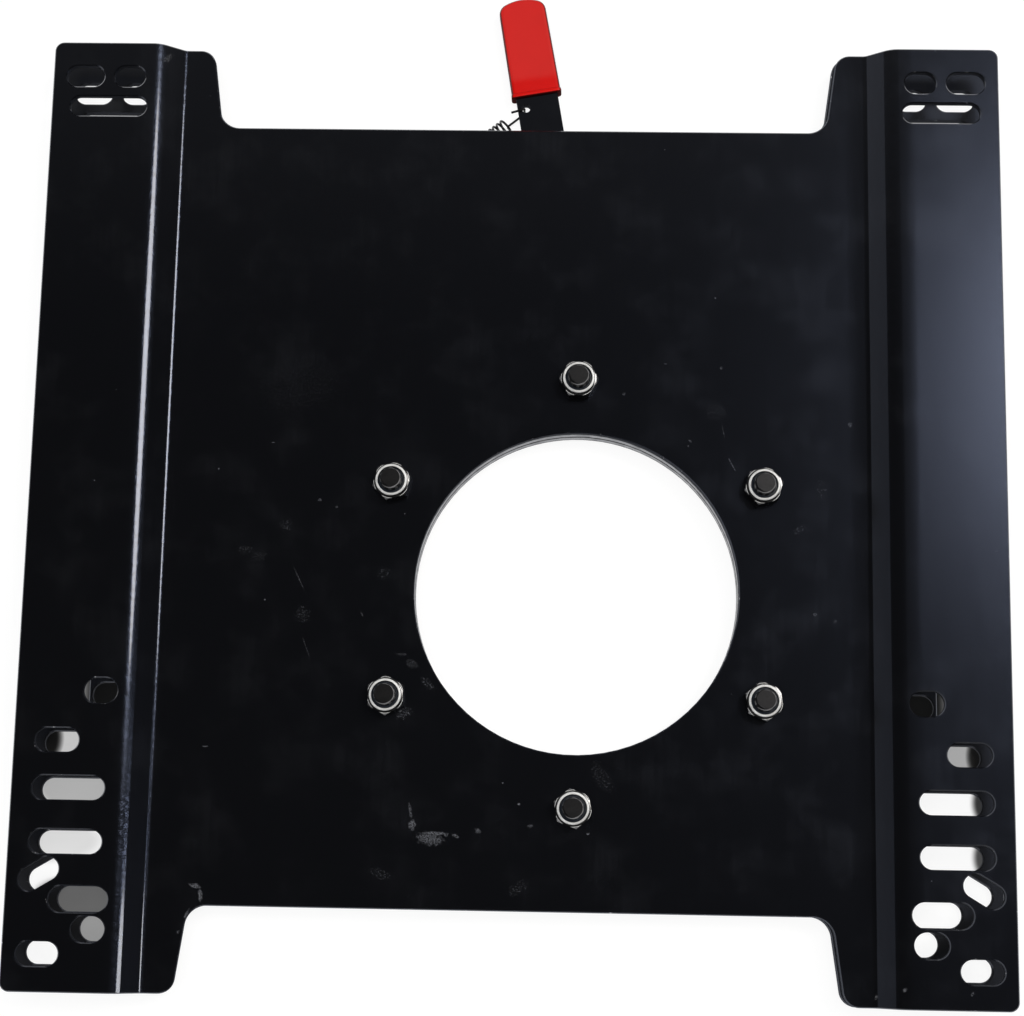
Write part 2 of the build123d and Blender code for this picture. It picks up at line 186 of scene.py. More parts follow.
class LeverSettings(bpy.types.PropertyGroup):
    """Dipped grip and return spring of the release lever."""

    bar_cross: FloatVectorProperty(
        name="Bar crossing",
        description="Where the middle of the bar passes the far edge of the panel",
        default=(-15.05 * MM, 181.6 * MM),
        size=2,
        unit="LENGTH",
        subtype="TRANSLATION",
    )
    lean: angle("Bar lean", "How far the bar leans to the left", radians(10))
    bar_width: length("Bar width", "Width of the bar", 16.5 * MM)
    grip_start: length("Grip start", "Distance of the grip's lip from the panel's edge", 17.8 * MM)
    grip_length: length("Grip length", "Length of the grip", 40.7 * MM)
    grip_wall: length("Grip wall", "Thickness of the grip round the bar", 1.2 * MM)
    grip_taper: length("Grip taper", "How much further each side stands out at the lip than at the end", 0.5 * MM)
    crown_r: length("Grip crown", "Radius of the crown at the bar's end", 16 * MM)
    corner_r: length("Grip corner", "Radius of the two corners at the bar's end", 3 * MM)
    grip_edge_r: length("Grip edges", "Radius along the grip's edges", 1.4 * MM)
    lip: length("Lip", "How far the grip's lip stands out", 0.3 * MM)
    lip_length: length("Lip length", "Length of the lip along the bar", 1.8 * MM)
    grip_tone: colour("Grip", "Colour of the dipped grip", (0.6, 0.019, 0.016))
    hole_along: length("Hook hole along", "Distance of the spring's hole from the panel's edge", 13.2 * MM)
    hole_across: length("Hook hole across", "Distance of the spring's hole from the bar's middle", -5.0 * MM)
    hook_offset: length("Hook offset", "Distance of the hook's wire from the middle of its hole", 0.8 * MM)
    spring_angle: angle("Spring angle", "Direction of the spring, from the right", radians(39))
    spring_span: length("Spring span", "Distance between the spring's two ends", 32 * MM)
    wire_r: length("Wire radius", "Radius of the spring's wire", 0.45 * MM)
    coil_r: length("Coil radius", "Radius of the coil at the middle of its wire", 2.6 * MM)
    coil_pitch: length("Coil pitch", "Distance between the coils", 1.9 * MM)
    coil_turns: IntProperty(name="Coils", description="Number of coils", default=9, min=1)
    leg: length("Spring leg", "Straight length between the post's loop and the coil", 5.4 * MM)
    tail: length("Spring tail", "Length of the hook's end over the bar", 5.4 * MM)
    tail_turn: angle("Tail turn", "How far the hook's end turns from the spring", radians(22))
    loop_r: length("Loop radius", "Radius of the loop round the post", 2.4 * MM)
    loop_turn: angle("Loop turn", "How far the loop goes round the post", radians(300))


class StageSettings(bpy.types.PropertyGroup):
    """Camera, floor and lamps."""

    eye: FloatVectorProperty(
        name="Camera place",
        description="Place of the camera",
        default=(-2.70 * MM, -109.98 * MM, 783.80 * MM),
        unit="LENGTH",
        subtype="TRANSLATION",
    )
    turn: FloatVectorProperty(
        name="Camera turn",
        description="Turn of the camera about X, Y and Z",
        default=(radians(10.26), radians(1.406), radians(1.076)),
        unit="ROTATION",
        subtype="EULER",
    )
    lens: FloatProperty(name="Lens", description="Focal length in millimetres", default=74.062, unit="CAMERA")
    floor_size: length("Floor radius", "Radius of the pale floor", 6.0)
    floor_glow: share("Floor white", "White that the floor shows by itself", 0.88)
    key_power: power("Key lamp", "Power of the main lamp", 33.0)
    near_power: power("Near lamp", "Power of the lamp for the near end", 5.0)
    fill_power: power("Fill lamp", "Power of the soft lamp overhead", 31.0)


class SeatBaseSettings(bpy.types.PropertyGroup):
    """All settings of the seat base."""

    coat: PointerProperty(type=CoatSettings)
    metal: PointerProperty(type=MetalSettings)
    fastener: PointerProperty(type=FastenerSettings)
    lever: PointerProperty(type=LeverSettings)
    stage: PointerProperty(type=StageSettings)


# Kinds of input that a node tree may have
VECTOR, NUMBER, COUNT = "NodeSocketVector", "NodeSocketFloat", "NodeSocketInt"
GEOMETRY, OBJECT, MATERIAL = "NodeSocketGeometry", "NodeSocketObject", "NodeSocketMaterial"


def title(name):
    """Name of the socket for an argument."""
    return name.replace("_", " ").capitalize()


class Graph:
    """Adds nodes to a tree and joins them up."""

    def __init__(self, tree):
        self.tree = tree

    def feed(self, node, inputs):
        """Joins a node's inputs to other sockets, or sets their values."""
        for key, value in inputs.items():
            if isinstance(value, bpy.types.NodeSocket):
                self.tree.links.new(value, node.inputs[key])
            else:
                node.inputs[key].default_value = value

    def add(self, kind, inputs=None, **settings):
        """Outputs of a new node with its settings and inputs."""
        made = self.tree.nodes.new(kind)
        for name, value in settings.items():
            setattr(made, name, value)
        self.feed(made, inputs or {})
        return made.outputs

    def group(self, tree, **inputs):
        """Outputs of a shared node group with its own values."""
        return self.add("ShaderNodeGroup", {title(name): value for name, value in inputs.items()}, node_tree=tree())

    def maths(self, operation, *values, clamp=False):
        """Result of a sum on one to three numbers."""
        return self.add("ShaderNodeMath", dict(enumerate(values)), operation=operation, use_clamp=clamp)[0]

    def plus(self, first, second):
        return self.maths("ADD", first, second)

    def minus(self, first, second):
        return self.maths("SUBTRACT", first, second)

    def over(self, first, second):
        return self.maths("DIVIDE", first, second)

    def size(self, value):
        return self.maths("ABSOLUTE", value)

    def times(self, *values):
        return reduce(lambda first, second: self.maths("MULTIPLY", first, second), values)

    def most(self, *values):
        return reduce(lambda first, second: self.maths("MAXIMUM", first, second), values)

    def line(self, value, slope, start, clamp=False):
        """Value times a slope, from a start."""
        return self.maths("MULTIPLY_ADD", value, slope, start, clamp=clamp)

    def vector(self, operation, *values):
        """Result of a sum on vectors."""
        made = self.add("ShaderNodeVectorMath", dict(enumerate(values)), operation=operation)
        return made["Value" if operation in ("LENGTH", "DOT_PRODUCT") else "Vector"]

    def parts(self, place):
        """X, Y and Z of a place."""
        return self.add("ShaderNodeSeparateXYZ", {"Vector": place})

    def radius(self, place):
        """Distance of a place from the Z axis."""
        return self.vector("LENGTH", self.vector("MULTIPLY", place, (1.0, 1.0, 0.0)))

    def up(self):
        """How far a surface faces up, from -1 to 1."""
        return self.parts(self.add("ShaderNodeTexCoord")["Normal"])["Z"]

    def noise(self, place, scale, detail=2.0, roughness=0.5, dimensions="3D"):
        """Cloudy pattern from 0 to 1."""
        key = "W" if dimensions == "1D" else "Vector"
        inputs = {key: place, "Scale": scale, "Detail": detail, "Roughness": roughness}
        return self.add("ShaderNodeTexNoise", inputs, noise_dimensions=dimensions)["Fac"]

    def ramp(self, value, low, high, start=0.0, end=1.0):
        """Value moved smoothly from one range to another, and held at its ends."""
        inputs = {"Value": value, "From Min": low, "From Max": high, "To Min": start, "To Max": end}
        return self.add("ShaderNodeMapRange", inputs, interpolation_type="SMOOTHSTEP")["Result"]

    def mix(self, factor, first, second):
        """Colour between two colours."""
        first, second = (c if isinstance(c, bpy.types.NodeSocket) else (*c, 1.0) for c in (first, second))
        return self.add("ShaderNodeMix", {0: factor, 6: first, 7: second}, data_type="RGBA")[2]

    def bump(self, height, distance):
        """Normal of a surface with bumps."""
        return self.add("ShaderNodeBump", {"Height": height, "Distance": distance, "Strength": 1.0})["Normal"]


def node_tree(kind, output_kind):
    """Turns a function that draws nodes into one that gives their tree, which is drawn on its first call.

    The function's marked arguments become the tree's inputs, and what it returns becomes the outputs.
    """

    def decorate(draw):
        @cache
        def tree():
            made = bpy.data.node_groups.new(draw.__name__, kind)
            for name, socket in draw.__annotations__.items():
                made.interface.new_socket(title(name), in_out="INPUT", socket_type=socket)
            graph = Graph(made)
            given = graph.add("NodeGroupInput")
            results = draw(graph, *[given[title(name)] for name in draw.__annotations__])
            for name in results:
                made.interface.new_socket(name, in_out="OUTPUT", socket_type=output_kind)
            graph.add("NodeGroupOutput", results)
            return made

        return tree

    return decorate


effect = node_tree("ShaderNodeTree", NUMBER)
growth = node_tree("GeometryNodeTree", GEOMETRY)


@effect
def powder_texture(graph, place: VECTOR, grain: NUMBER):
    """Small bumps of a powder coat over a slow orange peel, about a level of 0."""
    fine = graph.over(1.0, grain)
    bumps = graph.noise(place, fine, detail=0.0)
    waves = graph.noise(place, graph.over(fine, 4.0), detail=0.0)
    share_of_bumps = 0.45
    mean = (1 + share_of_bumps) / 2
    return {"Height": graph.minus(graph.line(bumps, share_of_bumps, waves), mean)}


@effect
def handling_marks(graph, place: VECTOR, size: NUMBER):
    """Hazy hand marks, the rolled sheet's streaks, and grains and hairs of dust on a stored part."""
    slow = graph.over(1.0, size)
    cells_rate = graph.times(slow, 4.0)

    def dust(way, lot, reach, soft):
        """Fills the middle of one cell in ten."""
        cell = graph.add("ShaderNodeTexVoronoi", {"Vector": way, "Scale": cells_rate, "Randomness": 1.0})
        pick = graph.add("ShaderNodeSeparateColor", {"Color": cell["Color"]})[lot]
        near = graph.minus(graph.ramp(pick, 0.9, 1.0, 0.0, reach), cell["Distance"])
        return graph.ramp(near, 0.0, soft)

    specks = [dust(place, "Red", 0.06, 0.02)]
    for turn in (35, 80, -50):
        laid = {"Location": (0.0, 0.0, turn * MM), "Rotation": (0.0, 0.0, radians(turn)), "Scale": (0.2, 1.0, 1.0)}
        brushed = graph.add("ShaderNodeMapping", {"Vector": place, **laid})["Vector"]
        specks.append(dust(brushed, "Green", 0.045, 0.03))
    cloud = graph.noise(place, slow, detail=3.0, roughness=0.6)
    drawn = graph.add("ShaderNodeMapping", {"Vector": place, "Scale": (16.0, 1.0, 1.0)})["Vector"]
    return {"Smudge": graph.ramp(cloud, 0.45, 0.75), "Streak": graph.noise(drawn, slow), "Speck": graph.most(*specks)}


@effect
def rim_wear(graph, place: VECTOR, amount: NUMBER):
    """Rubbed patches on the sharp rims that face halfway between up and sideways, and what faces up."""
    chip_size = 3 * MM
    up = graph.up()
    off_rim = graph.size(graph.minus(graph.size(up), sqrt(0.5)))
    on_rim = graph.ramp(off_rim, 0.02, 0.04, 1.0, 0.0)
    chips = graph.noise(place, 1 / chip_size, detail=4.0, roughness=0.7)
    least = graph.line(amount, -0.4, 0.75)
    rubbed = graph.ramp(graph.minus(chips, least), 0.0, 0.1)
    return {"Worn": graph.times(on_rim, rubbed), "Up": graph.ramp(up, 0.3, 0.6)}


@effect
def rub_and_shade_patch(
    graph,
    x: VECTOR,
    y: VECTOR,
    per_x: VECTOR,
    per_y: VECTOR,
    shift: VECTOR,
    inside: NUMBER,
    outside: NUMBER,
    depth: NUMBER,
):
    """One patch that fades out between two reaches, measured in its half length and half width: a rubbed patch or
    scratch on the coat, and a patch of painted shade on the floor.
    """
    own_place = graph.vector("MULTIPLY_ADD", x, per_x, graph.vector("MULTIPLY_ADD", y, per_y, shift))
    return {"Mask": graph.ramp(graph.vector("LENGTH", own_place), inside, outside, depth, 0.0)}


@effect
def turned_lines(graph, place: VECTOR, pitch: NUMBER):
    """Fine rings that a lathe leaves, round the Z axis on flat faces and along it on walls."""
    on_flat = graph.maths("GREATER_THAN", graph.size(graph.up()), 0.6)
    ways = {0: on_flat, 2: graph.parts(place)["Z"], 3: graph.radius(place)}
    way = graph.add("ShaderNodeMix", ways, data_type="FLOAT")[0]
    rate = graph.over(1.0, pitch)
    lines = graph.noise(way, rate, detail=2.0, roughness=0.7, dimensions="1D")
    patches = graph.noise(place, graph.over(rate, 30.0), detail=3.0)
    return {"Height": lines, "Tone": graph.line(lines, 0.4, graph.times(patches, 0.6))}


@effect
def edge_band(graph, least: NUMBER, most: NUMBER):
    """Rounded edges: where a surface leans between two shares of facing up."""
    up = graph.up()
    over = graph.ramp(up, graph.minus(least, 0.06), least)
    under = graph.ramp(up, most, graph.plus(most, 0.03), 1.0, 0.0)
    return {"Mask": graph.times(over, under)}


@effect
def nut_painted_highlight(graph, place: VECTOR, inner: NUMBER, outer: NUMBER, low: NUMBER, corner: NUMBER):
    """Painted highlight: a bright top painted on a nut's rolled collar and on the corners of its hexagon."""
    soft = 0.12 * MM
    radius = graph.radius(place)
    past_inner, past_outer, past_corner = [graph.minus(radius, given) for given in (inner, outer, corner)]
    over = graph.ramp(graph.minus(graph.parts(place)["Z"], low), 0.0, 2 * soft)
    collar = graph.times(graph.ramp(past_inner, -soft, 0.0), graph.ramp(past_outer, 0.0, soft, 1.0, 0.0), over)
    corners = graph.times(graph.ramp(past_corner, -soft, 0.0), graph.ramp(past_corner, 0.0, 1.5 * soft, 1.0, 0.0))
    return {"Mask": graph.times(graph.ramp(graph.up(), 0.15, 0.3), graph.most(collar, corners))}


@effect
def joint_band(graph, place: VECTOR, height: NUMBER, reach: NUMBER):
    """Dark band of uneven width where two rings meet at a height."""
    blot_size = 2.5 * MM
    off = graph.size(graph.minus(graph.parts(place)["Z"], height))
    uneven = graph.noise(place, 1 / blot_size)
    near = graph.over(off, graph.times(reach, graph.plus(uneven, 0.5)))
    return {"Mask": graph.ramp(near, 0.4, 1.0, 1.0, 0.0)}


def new_finish(name, attribute=None):
    """Material with a bare Principled shader: its graph, the shader, and coordinates of the object or an attribute."""
    made = bpy.data.materials.new(name)
    made.use_nodes = True
    graph = Graph(made.node_tree)
    if attribute:
        place = graph.add("ShaderNodeAttribute", attribute_name=attribute)["Vector"]
    else:
        place = graph.add("ShaderNodeTexCoord")["Object"]
    return made, graph, made.node_tree.nodes["Principled BSDF"], place


def dimmed(tone, left):
    """Colour with only a share of its light left."""
    return [c * left for c in tone]


# Marks on the upper face of the top plate, in mm and degrees: place, length, width and turn, and how far the coat
# is rubbed
top_rubs = {
    "corner scuff": (-52.6, -92.6, 11.5, 5.4, -8.0, 0.62),
    "corner scuff rim": (-51.0, -90.6, 11.0, 1.5, 0.0, 0.9),
    "corner scuff end": (-59.2, -87.6, 4.2, 3.4, 90.0, 0.8),
    "corner scuff tip": (-60.0, -82.6, 7.0, 1.3, 100.0, 0.55),
    "scuff trail": (-43.2, -91.4, 3.0, 1.6, -20.0, 0.75),
    "scuff trail bit": (-46.6, -91.2, 1.7, 1.2, 0.0, 0.6),
    "scuff trail end": (-34.9, -89.5, 2.8, 2.0, -30.0, 0.6),
    "near spot": (-19.9, -79.3, 1.2, 1.0, 0.0, 1.0),
    "near spot beside": (5.6, -89.8, 1.1, 1.0, 0.0, 0.8),
    "near spot left": (-15.7, -87.3, 2.2, 1.7, 0.0, 0.35),
    "opening rub": (-60.9, -28.2, 5.6, 4.0, -20.0, 0.16),
    "opening rub tip": (-64.8, -24.6, 4.6, 1.2, 0.0, 0.2),
    "left scratch": (-104.6, 3.8, 12.5, 0.6, -64.0, 0.3),
    "left scratch end": (-100.7, -22.8, 10.0, 0.5, -69.0, 0.22),
    "short scratch": (-80.2, -9.7, 3.6, 0.7, -62.0, 0.3),
    "left spot": (-97.5, 33.6, 1.6, 1.2, 0.0, 0.5),
    "left spot beside": (-91.0, 31.0, 1.4, 1.1, 0.0, 0.4),
    "right scratch": (55.2, 61.8, 6.4, 0.5, -78.0, 0.2),
    "right scratch end": (58.4, 49.4, 8.4, 0.6, -62.0, 0.35),
    "right tick": (42.5, 58.4, 1.8, 1.0, -40.0, 0.4),
    "right tick beside": (41.8, 56.4, 1.4, 0.9, -40.0, 0.35),
    "right spot": (89.3, -7.4, 2.2, 2.0, 0.0, 0.3),
    "right spot end": (96.8, -9.9, 1.6, 1.6, 0.0, 0.25),
    "right bend spot": (103.1, 65.4, 1.8, 3.0, 0.0, 0.3),
    "far spot": (54.2, 87.0, 1.6, 1.3, 0.0, 0.3),
    "far spot left": (17.3, 76.4, 1.6, 1.4, 0.0, 0.3),
    "notch chip": (-138.6, -111.2, 5.2, 1.8, -14.0, 0.95),
    "notch chip side": (-136.4, -114.6, 5.6, 1.8, -84.0, 0.95),
    "notch nick": (-141.2, -121.4, 4.2, 1.2, 62.0, 0.7),
    "notch nick end": (-144.0, -128.0, 1.8, 1.0, 62.0, 0.7),
    "flange nick": (119.7, -143.2, 2.0, 1.2, 50.0, 0.9),
    "flange nick beside": (110.4, -146.4, 2.4, 1.1, 80.0, 0.8),
    "flange nick right": (143.8, -144.0, 2.2, 1.0, 60.0, 0.7),
    "far bend scuff": (-162.8, 208.0, 6.0, 2.6, 60.0, 0.35),
}
top_strokes = {
    "near nut strokes": (-63.4, -46.6, 7.5, 4.4, 20.0, 0.5),
    "opening strokes": (-54.6, -35.6, 7.0, 3.2, -40.0, 0.35),
    "near side strokes": (-70.6, -105.6, 10.0, 4.0, -14.0, 0.2),
    "near middle strokes": (-19.8, -110.0, 9.0, 5.0, 30.0, 0.2),
    "hub strokes": (10.4, -69.0, 14.0, 7.0, -55.0, 0.16),
    "left strokes": (-125.3, 14.0, 6.0, 4.5, 0.0, 0.2),
    "left strokes beside": (-119.5, 12.1, 6.0, 4.5, 20.0, 0.22),
    "left strokes near": (-102.6, -10.2, 7.0, 6.0, -60.0, 0.22),
    "far hand strokes": (-107.5, 78.3, 34.0, 24.0, 15.0, 0.05),
    "right strokes": (83.6, 24.7, 7.0, 3.0, 42.0, 0.2),
    "right ring strokes": (92.3, 40.1, 6.0, 9.0, 0.0, 0.14),
    "right haze": (52.3, 69.8, 9.0, 7.0, 0.0, 0.12),
    "left grit": (-110.1, 23.8, 6.0, 5.0, 0.0, 0.2),
    "middle grit": (-72.4, 6.0, 6.0, 5.0, 0.0, 0.16),
}


def rub_and_shade_masks(graph, place, edge, marks):
    """Greatest of several patches whose outlines a ragged edge moves in and out: rubbed patches on the coat, and
    painted shade on the floor.
    """
    inside, outside = graph.minus(0.6, edge), graph.minus(1.0, edge)
    parts = graph.parts(place)
    x_way, y_way = [graph.add("ShaderNodeCombineXYZ", dict.fromkeys("XYZ", parts[axis]))[0] for axis in "XY"]
    masks = []
    for x, y, long, wide, turn, depth in marks.values():
        c, s = cos(radians(turn)), sin(radians(turn))
        per_x = Vector((c / long, -s / wide, 0.0)) * 2 / MM
        per_y = Vector((s / long, c / wide, 0.0)) * 2 / MM
        patch = graph.group(
            rub_and_shade_patch,
            x=x_way,
            y=y_way,
            per_x=per_x,
            per_y=per_y,
            shift=-(per_x * x + per_y * y) * MM,
            inside=inside,
            outside=outside,
            depth=depth,
        )
        masks.append(patch["Mask"])
    return graph.most(*masks)


def sheet_curve(graph, place, settings):
    """Height of the slow curves in the sheet beside the top plate's bends, and of its flanges' droop."""
    panel_reach, flange_reach = 8 * MM, 6 * MM
    off = graph.size(graph.minus(graph.parts(place)["X"], plate_middle))

    def run(start, reach):
        return graph.maths("DIVIDE", graph.minus(off, start), reach, clamp=True)

    rise = settings.spring_back
    panel = run(settings.panel_half - panel_reach, panel_reach)
    panel = graph.times(panel, panel, rise * panel_reach / 2)
    flange = run(settings.flange_half, flange_reach)
    flange = graph.line(graph.times(flange, flange), -0.5, flange)
    curve = graph.line(flange, rise * flange_reach, panel)
    outside = graph.most(graph.minus(off, settings.flange_half), 0.0)
    return graph.line(outside, -settings.droop, curve)


def coat_finish(name, settings, rubs=None, strokes=None, dust=0.0):
    """Satin black powder coat with dust, hand marks and rubbed rims, and rubs of its own. Its cut walls are matt."""
    made, graph, shader, place = new_finish(name)
    powder = graph.group(powder_texture, place=place, grain=settings.grain)
    marked = graph.group(handling_marks, place=place, size=settings.smudge_size)
    rims = graph.group(rim_wear, place=place, amount=settings.rim_wear)
    walls = graph.group(edge_band, least=-0.3, most=0.3)["Mask"]
    bends = graph.group(edge_band, least=0.82, most=0.97)["Mask"]
    film = graph.times(marked["Smudge"], marked["Streak"], settings.film)
    hazy = graph.most(graph.times(marked["Speck"], settings.specks), graph.plus(film, dust))
    height = graph.times(powder["Height"], graph.line(bends, settings.bend_grain, settings.grain_depth))
    if rubs:
        ragged_size, mottle_size, grit_size = 1.1 * MM, 0.55 * MM, 0.7 * MM
        raggedness = 2.6
        height = graph.plus(height, sheet_curve(graph, place, settings))
        ragged = graph.noise(place, 1 / ragged_size, detail=5.0, roughness=0.75)
        edge = graph.line(ragged, raggedness, -raggedness / 2)
        mottled = graph.ramp(graph.noise(place, 1 / mottle_size), 0.4, 0.62, 0.12, 0.75)
        grit = graph.ramp(graph.noise(place, 1 / grit_size, detail=3.0, roughness=0.8), 0.52, 0.64, 0.04, 1.0)
        gritty = graph.times(rub_and_shade_masks(graph, place, edge, strokes), grit)
        solid = graph.times(rub_and_shade_masks(graph, place, edge, rubs), mottled)
        hazy = graph.most(hazy, graph.times(graph.most(solid, gritty), rims["Up"]))
    tone = graph.mix(hazy, settings.tone, settings.dust_tone)
    soft = graph.line(marked["Smudge"], 0.035, settings.roughness - 0.02)
    soft = graph.line(marked["Streak"], 0.03, soft)
    soft = graph.line(hazy, 0.4, soft)
    graph.feed(
        shader,
        {
            "Base Color": graph.mix(rims["Worn"], tone, settings.bare_tone),
            "Metallic": graph.times(rims["Worn"], 0.8),
            "Roughness": graph.line(walls, 0.7, soft, clamp=True),
            "Coat Weight": graph.line(graph.most(hazy, walls), -0.8, settings.skin, clamp=True),
            "Coat Roughness": settings.skin_roughness,
            "Specular IOR Level": settings.glow,
            "Specular Tint": (*settings.glow_tone, 1.0),
            "Normal": graph.bump(height, 1.0),
        },
    )
    return made


def turned_finish(name, metal, tone, roughness, depth, attribute=None, rubbed=False, painted_highlight=None, joints=()):
    """Turned or plated metal with fine rings and stains, edges that are rubbed bright, a painted highlight on a nut's
    collar and corners, and dark bands at its joints.
    """
    stain_size = 4 * MM
    made, graph, shader, place = new_finish(name, attribute)
    lines = graph.group(turned_lines, place=place, pitch=metal.turned_pitch)
    stain = graph.noise(place, 1 / stain_size, detail=3.0, roughness=0.6)
    worn = graph.mix(graph.ramp(stain, 0.45, 0.75), tone, dimmed(tone, 0.66))
    shown = graph.mix(graph.ramp(lines["Tone"], 0.35, 0.7), worn, dimmed(tone, 0.8))
    rough = graph.ramp(stain, 0.3, 0.75, roughness - 0.05, roughness + 0.12)
    metallic = 1.0
    if rubbed:
        edges = graph.group(edge_band, least=0.66, most=0.74)["Mask"]
        patchy = graph.times(edges, graph.ramp(stain, 0.25, 0.6, 1.0, 0.75))
        shown = graph.mix(patchy, shown, metal.rubbed_tone)
        rough = graph.line(patchy, 0.2, rough)
        metallic = graph.line(patchy, -0.7, 1.0)
    # Painted highlight: the nut's collar top and hexagon corners turn a bright, rougher, non-metallic tone
    if painted_highlight:
        bright = graph.group(nut_painted_highlight, place=place, **painted_highlight)["Mask"]
        bright = graph.times(bright, graph.ramp(stain, 0.3, 0.62, 1.0, 0.7))
        shown = graph.mix(bright, shown, metal.painted_highlight_tone)
        rough = graph.line(bright, 0.15, rough)
        metallic = graph.minus(1.0, bright)
    # Dark bands where the rings meet
    for height in joints:
        banded = graph.group(joint_band, place=place, height=height, reach=metal.joint_band_reach)["Mask"]
        shown = graph.mix(banded, shown, metal.joint_band_tone)
        rough = graph.line(banded, 0.3, rough)
    normal = graph.bump(lines["Height"], depth)
    graph.feed(shader, {"Base Color": shown, "Metallic": metallic, "Roughness": rough, "Normal": normal})
    return made


def moulded_finish(name, tone, roughness, attribute=None):
    """Moulded plastic with a fine skin and faint flow marks."""
    skin_size, flow_size, skin_depth = 0.2 * MM, 9 * MM, 0.01 * MM
    made, graph, shader, place = new_finish(name, attribute)
    flow = graph.noise(place, 1 / flow_size, detail=3.0)
    graph.feed(
        shader,
        {
            "Base Color": graph.mix(graph.ramp(flow, 0.35, 0.7), tone, dimmed(tone, 0.82)),
            "Roughness": graph.ramp(flow, 0.3, 0.7, roughness - 0.06, roughness + 0.08),
            "Normal": graph.bump(graph.noise(place, 1 / skin_size), skin_depth),
        },
    )
    return made


def bar_axes(settings):
    """Directions along and across the bar."""
    lean = settings.lean
    return Vector((-sin(lean), cos(lean), 0)), Vector((cos(lean), sin(lean), 0))


def dipped_finish(name, settings):
    """Soft dipped vinyl: hazy red that is clear near the lip, with pores and hand marks, and painted shade round its
    edges and on its mouth at the lip.
    """
    ripple_size, pore_size, hand_size, ripple_depth = 9 * MM, 0.35 * MM, 14 * MM, 0.03 * MM
    made, graph, shader, place = new_finish(name)
    tone = settings.grip_tone
    along, _ = bar_axes(settings)
    lip = Vector((*settings.bar_cross, 0)) + along * settings.grip_start
    ripple = graph.noise(place, 1 / ripple_size, detail=1.0)
    pores = graph.noise(place, 1 / pore_size, detail=1.0)
    way = graph.vector("DOT_PRODUCT", graph.vector("SUBTRACT", place, tuple(lip)), tuple(along))
    # The mouth at the lip: painted shade, and matt
    mouth = graph.ramp(way, 0.15 * MM, 0.4 * MM, 1.0, 0.0)
    wavy = graph.line(graph.minus(ripple, 0.5), 3 * MM, way)
    clear = graph.ramp(wavy, 5.0 * MM, 8.5 * MM, 1.0, 0.0)
    marked = graph.group(handling_marks, place=place, size=hand_size)
    # Faces that lean away from up: painted shade on the edges, and matt sides
    edge = graph.group(edge_band, least=-1.0, most=0.8)["Mask"]
    side = graph.group(edge_band, least=-1.0, most=0.4)["Mask"]
    matt = graph.most(mouth, side)
    body = graph.mix(clear, tone, (tone[0] * 0.98, tone[1] * 0.2, tone[2] * 0.15))
    body = graph.mix(graph.times(marked["Smudge"], 0.1), body, dimmed(tone, 0.6))
    # Painted shade round the edges
    body = graph.mix(edge, body, dimmed(tone, 0.22))
    graph.feed(
        shader,
        {
            # Painted shade on the mouth at the lip
            "Base Color": graph.mix(mouth, body, dimmed(tone, 0.1)),
            "Roughness": graph.line(matt, 0.6, graph.ramp(ripple, 0.3, 0.7, 0.3, 0.38), clamp=True),
            "Specular IOR Level": 0.15,
            "Coat Weight": graph.line(matt, -0.4, graph.ramp(ripple, 0.3, 0.7, 0.35, 0.2), clamp=True),
            "Coat Roughness": 0.1,
            "Normal": graph.bump(graph.line(pores, 0.1, ripple), ripple_depth),
        },
    )
    return made


def wear(finish, *nodes):
    """Gives frame nodes their finish."""
    for node in nodes:
        slots = frame["nodes"][node].data.materials
        slots.clear()
        slots.append(finish)


def loop(sides, radius, height):
    """Loop of points round the Z axis. Its radius and height may follow the angle."""
    points = []
    for step in range(sides):
        around = tau * step / sides
        r = radius(around) if callable(radius) else radius
        z = height(around) if callable(height) else height
        points.append(Vector((r * cos(around), r * sin(around), z)))
    return points


def skin(name, loops, closed=False, sharp=radians(32)):
    """Mesh over a row of loops: joined end to end, or capped at both ends."""
    body = bmesh.new()
    rows = [[body.verts.new(point) for point in points] for points in loops]
    pairs = list(zip(rows, rows[1:]))
    if closed:
        pairs.append((rows[-1], rows[0]))
    else:
        for row in (rows[0], rows[-1]):
            centre = body.verts.new(sum((v.co for v in row), Vector()) / len(row))
            for first, second in zip(row, row[1:] + row[:1]):
                body.faces.new((first, second, centre))
    for low, high in pairs:
        for i in range(len(low)):
            j = (i + 1) % len(low)
            body.faces.new((low[i], low[j], high[j], high[i]))
    bmesh.ops.recalc_face_normals(body, faces=body.faces)
    for face in body.faces:
        face.smooth = True
    made = bpy.data.meshes.new(name)
    body.to_mesh(made)
    body.free()
    made.set_sharp_from_angle(angle=sharp)
    own_place = made.attributes.new("own_place", "FLOAT_VECTOR", "POINT")
    own_place.data.foreach_set("vector", [c for v in made.vertices for c in v.co])
    return made


def turned(name, sides, profile, **how):
    """Mesh round the Z axis over a row of radii and heights."""
    return skin(name, [loop(sides, radius, height) for radius, height in profile], **how)


def hexagon(flats):
    """Radius of a hexagon at an angle, with a corner at angle 0."""
    return lambda around: flats / 2 / cos(around % (pi / 3) - pi / 6)


NUT_SIDES = 72


def nut_levels(settings):
    """Radius of the collar's roll, and the foot and top of the insert's seat over the foot of the nut."""
    roll = (settings.collar_r - settings.lip_r) / 2
    high = nut_high.z - nut_low.z - 2 * roll
    return roll, high - settings.insert_height, high


